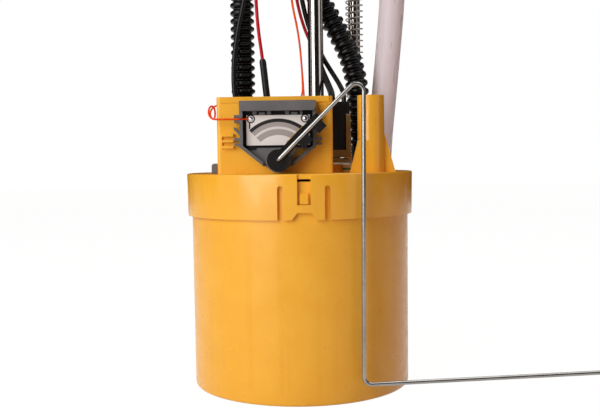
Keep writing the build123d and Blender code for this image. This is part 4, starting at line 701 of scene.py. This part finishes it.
def rigid_pieces():
    """Every other CAD node with its own finish, the round on its edges in millimetres, and for the
    bent wire the angle up to which it is smooth."""
    finishes = {
        "reservoir_cup": (ACETAL, 0.3),
        "reservoir_lid": (LID_ACETAL, 0.3),
        "sensor_carrier": (ACETAL, 0.3),
        "inlet_screen": (BLACK_NYLON, 0.0),
        "umbrella_valve": (RUBBER, 0.1),
        "harness_clip": (GREY_NYLON, 0.2),
        "sensor_housing": (GREY_NYLON, 0.2),
        # the tray's near black is painted shade in the gaps round the card
        "card_tray": (TRAY_PAINTED_SHADE, 0.1),
        "resistor_card": (CERAMIC, 0.08),
        "card_terminals": (SOLDER, 0.0),
        "arm_holder": (BLACK_NYLON, 0.2),
        "wiper_contacts": (BRASS, 0.05),
        "float_wire": (STEEL_WIRE, 0.0, 60.0),
        "float_block": (FLOAT_FOAM, 0.5),
        "float_nut": (PLATED, 0.05),
        "pressure_regulator": (BRIGHT_TIN, 0.15),
        "regulator_retainer": (NATURAL_NYLON, 0.2),
        "plug_cradle": (NATURAL_NYLON, 0.3),
        "harness_plug": (BLACK_NYLON, 0.2),
        "bleed_spigot": (WHITE_NYLON, 0.1),
        "bleed_seal": (GREEN_RUBBER, 0.0),
        "lead_grommet": (RUBBER, 0.2),
        "pump_can": (PLATED, 0.2),
        "pump_magnets": (FERRITE, 0.3),
        "pump_inlet_cover": (ALUMINIUM, 0.2),
        "pump_chamber_plate": (ALUMINIUM, 0.1),
        "pump_impeller": (PHENOLIC, 0.1),
        "pump_shaft": (STEEL_WIRE, 0.2),
        "pump_armature": (PLATED, 0.1),
        "pump_brushes": (CARBON, 0.1),
        "pump_outlet_cap": (BLACK_NYLON, 0.2),
        "pump_isolator": (RUBBER, 0.2),
        "pump_cradle": (BLACK_NYLON, 0.2),
        "inlet_strainer": (WEAVE, 0.0),
        "pump_outlet_hose": (RUBBER, 0.2),
        "pump_plug": (WHITE_NYLON, 0.2),
        "jet_pump": (BLACK_NYLON, 0.2),
        "jet_hose": (RUBBER, 0.2),
        "flange_plate": (BLACK_NYLON, 0.3),
        "tank_seal": (RUBBER, 0.3),
        "feed_nipple": (PLATED, 0.0),
        "return_nipple": (PLATED, 0.0),
        "vent_nipple": (PLATED, 0.0),
        "connector_shell": (BLACK_NYLON, 0.3),
        "connector_pins": (TINNED, 0.1),
        "flange_plug": (BLACK_NYLON, 0.3),
        "front_guide_rod": (CHROME, 0.1),
        "rear_guide_rod": (CHROME, 0.1),
        "rod_clips": (PLATED, 0.05),
    }
    pieces = {node: from_cad(node, *values) for node, values in finishes.items()}
    moved(pieces["arm_holder"], trim_jaws)
    moved(pieces["card_tray"], lift_clips)
    grey_clips(pieces["card_tray"])


# ---------------------------------------------------------------- camera, floor and light
EYE = (0.0, -0.460, 0.1162)         # the camera's place, in metres
FLOOR_HALF, FLOOR_Z = 3.0, -0.05    # half the floor's width in metres, its height in millimetres
FLOOR_GLOW, FLOOR_SHARE = 1.06, 0.92
CARD_AWAY, CARD_HEIGHT = 1.6, 1.5   # the dark cards' radius and height, in metres
SOFT_LIGHT, SOFT_STRENGTH = (1.0, 0.5, 0.3, 1.0), 0.25


def camera():
    """A little above the lid, turned slightly down and rolled, with a 53 mm lens."""
    down, roll = radians(3.3), radians(-0.78)
    ahead = Vector((0, cos(down), -sin(down)))
    right = Vector((1, 0, 0))
    above = right.cross(ahead)
    across = right * cos(roll) + above * sin(roll)
    up = above * cos(roll) - right * sin(roll)
    data = bpy.data.cameras.new("camera")
    data.sensor_width = 36.0
    data.lens = 53.04
    data.clip_start, data.clip_end = 0.01, 30.0
    eye = bpy.data.objects.new("camera", data)
    bpy.context.scene.collection.objects.link(eye)
    place = Matrix((across, up, -ahead)).transposed().to_4x4()
    place.translation = Vector(EYE)
    eye.matrix_world = place
    bpy.context.scene.camera = eye


def seen_or_mirrored(tree):
    """One for what the camera sees, also in a mirror or through glass, nought for other light."""
    path = tree.nodes.new("ShaderNodeLightPath")
    share = path.outputs["Is Camera Ray"]
    for ray in ("Is Glossy Ray", "Is Transmission Ray"):
        larger = tree.nodes.new("ShaderNodeMath")
        larger.operation = "MAXIMUM"
        tree.links.new(share, larger.inputs[0])
        tree.links.new(path.outputs[ray], larger.inputs[1])
        share = larger.outputs[0]
    return share


def white_world():
    """White where it is looked at or mirrored, and a soft warm light on everything else."""
    world = bpy.data.worlds.new("studio")
    bpy.context.scene.world = world
    world.use_nodes = True
    tree = world.node_tree
    tree.nodes.clear()
    soft = tree.nodes.new("ShaderNodeBackground")
    soft.inputs["Color"].default_value = SOFT_LIGHT
    soft.inputs["Strength"].default_value = SOFT_STRENGTH
    white = tree.nodes.new("ShaderNodeBackground")
    white.inputs["Color"].default_value = (1.0, 1.0, 1.0, 1.0)
    white.inputs["Strength"].default_value = 1.0
    mix = tree.nodes.new("ShaderNodeMixShader")
    out = tree.nodes.new("ShaderNodeOutputWorld")
    tree.links.new(seen_or_mirrored(tree), mix.inputs["Fac"])
    tree.links.new(soft.outputs[0], mix.inputs[1])
    tree.links.new(white.outputs[0], mix.inputs[2])
    tree.links.new(mix.outputs[0], out.inputs["Surface"])


def lamp(name, place, aim, size, power):
    """Rectangular soft lamp that looks from its place at its aim."""
    data = bpy.data.lights.new(name, "AREA")
    data.shape = "RECTANGLE"
    data.size, data.size_y = size
    data.energy = power
    light = bpy.data.objects.new(name, data)
    bpy.context.scene.collection.objects.link(light)
    light.location = place
    light.rotation_mode = "QUATERNION"
    light.rotation_quaternion = (Vector(aim) - Vector(place)).to_track_quat("-Z", "Y")


def dark_card(name, start, end):
    """Upright dark card that only mirrors see: an arc round the module between two directions,
    in degrees from the front."""
    turn = np.radians(np.linspace(start, end, 24))
    turn, z = np.meshgrid(turn, [0.0, CARD_HEIGHT])
    x, y = CARD_AWAY * np.sin(turn), -CARD_AWAY * np.cos(turn)
    mesh = grid_mesh(name, x / MM, y / MM, z / MM, round_cols=False)
    card = bpy.data.objects.new(name, mesh)
    bpy.context.scene.collection.objects.link(card)
    paint = bpy.data.materials.new(name)
    paint.use_nodes = True
    shader = paint.node_tree.nodes["Principled BSDF"]
    shader.inputs["Base Color"].default_value = (0.02, 0.018, 0.017, 1.0)
    shader.inputs["Roughness"].default_value = 0.9
    mesh.materials.append(paint)
    card.visible_camera = False
    card.visible_diffuse = False
    card.visible_transmission = False
    card.visible_shadow = False


def white_floor():
    """Plain square floor. Where it is seen, most of it is an even white glow and the rest is
    its own pale grey, so that it keeps a soft shadow."""
    x, y = np.meshgrid([-FLOOR_HALF / MM, FLOOR_HALF / MM], [-FLOOR_HALF / MM, FLOOR_HALF / MM])
    mesh = grid_mesh("floor", x, y, 0 * x + FLOOR_Z, round_cols=False)
    floor = bpy.data.objects.new("floor", mesh)
    bpy.context.scene.collection.objects.link(floor)
    paint = bpy.data.materials.new("floor_white")
    paint.use_nodes = True
    tree = paint.node_tree
    shader = tree.nodes["Principled BSDF"]
    shader.inputs["Base Color"].default_value = (0.6, 0.6, 0.6, 1.0)
    shader.inputs["Roughness"].default_value = 0.9
    glow = tree.nodes.new("ShaderNodeEmission")
    glow.inputs["Strength"].default_value = FLOOR_GLOW
    mix = tree.nodes.new("ShaderNodeMixShader")
    out = tree.nodes["Material Output"]
    share = tree.nodes.new("ShaderNodeMath")
    share.operation = "MULTIPLY"
    share.inputs[1].default_value = FLOOR_SHARE
    tree.links.new(seen_or_mirrored(tree), share.inputs[0])
    tree.links.new(share.outputs[0], mix.inputs["Fac"])
    tree.links.new(shader.outputs[0], mix.inputs[1])
    tree.links.new(glow.outputs[0], mix.inputs[2])
    tree.links.new(mix.outputs[0], out.inputs["Surface"])
    mesh.materials.append(paint)


def cards_and_lamps():
    """Three dark cards for the shiny pieces, and three soft lamps."""
    dark_card("front_card", -16.0, 48.0)
    dark_card("right_card", 74.0, 174.0)
    dark_card("left_card", -173.0, -86.0)
    lamp("key", (-0.69, -0.81, 0.49), (0.0, 0.0, 0.12), (0.75, 1.0), 10.5)
    lamp("top", (0.1, 0.1, 1.0), (0.0, 0.0, 0.1), (0.8, 0.8), 4.0)
    lamp("right", (0.9, 0.2, 0.35), (0.0, 0.0, 0.12), (0.4, 0.8), 0.1)


bpy.context.scene.view_settings.view_transform = "Standard"
camera()
white_world()
white_floor()
cards_and_lamps()
hoses()
leads()
sleeves()
spring()
rigid_pieces()
grip_ribs()
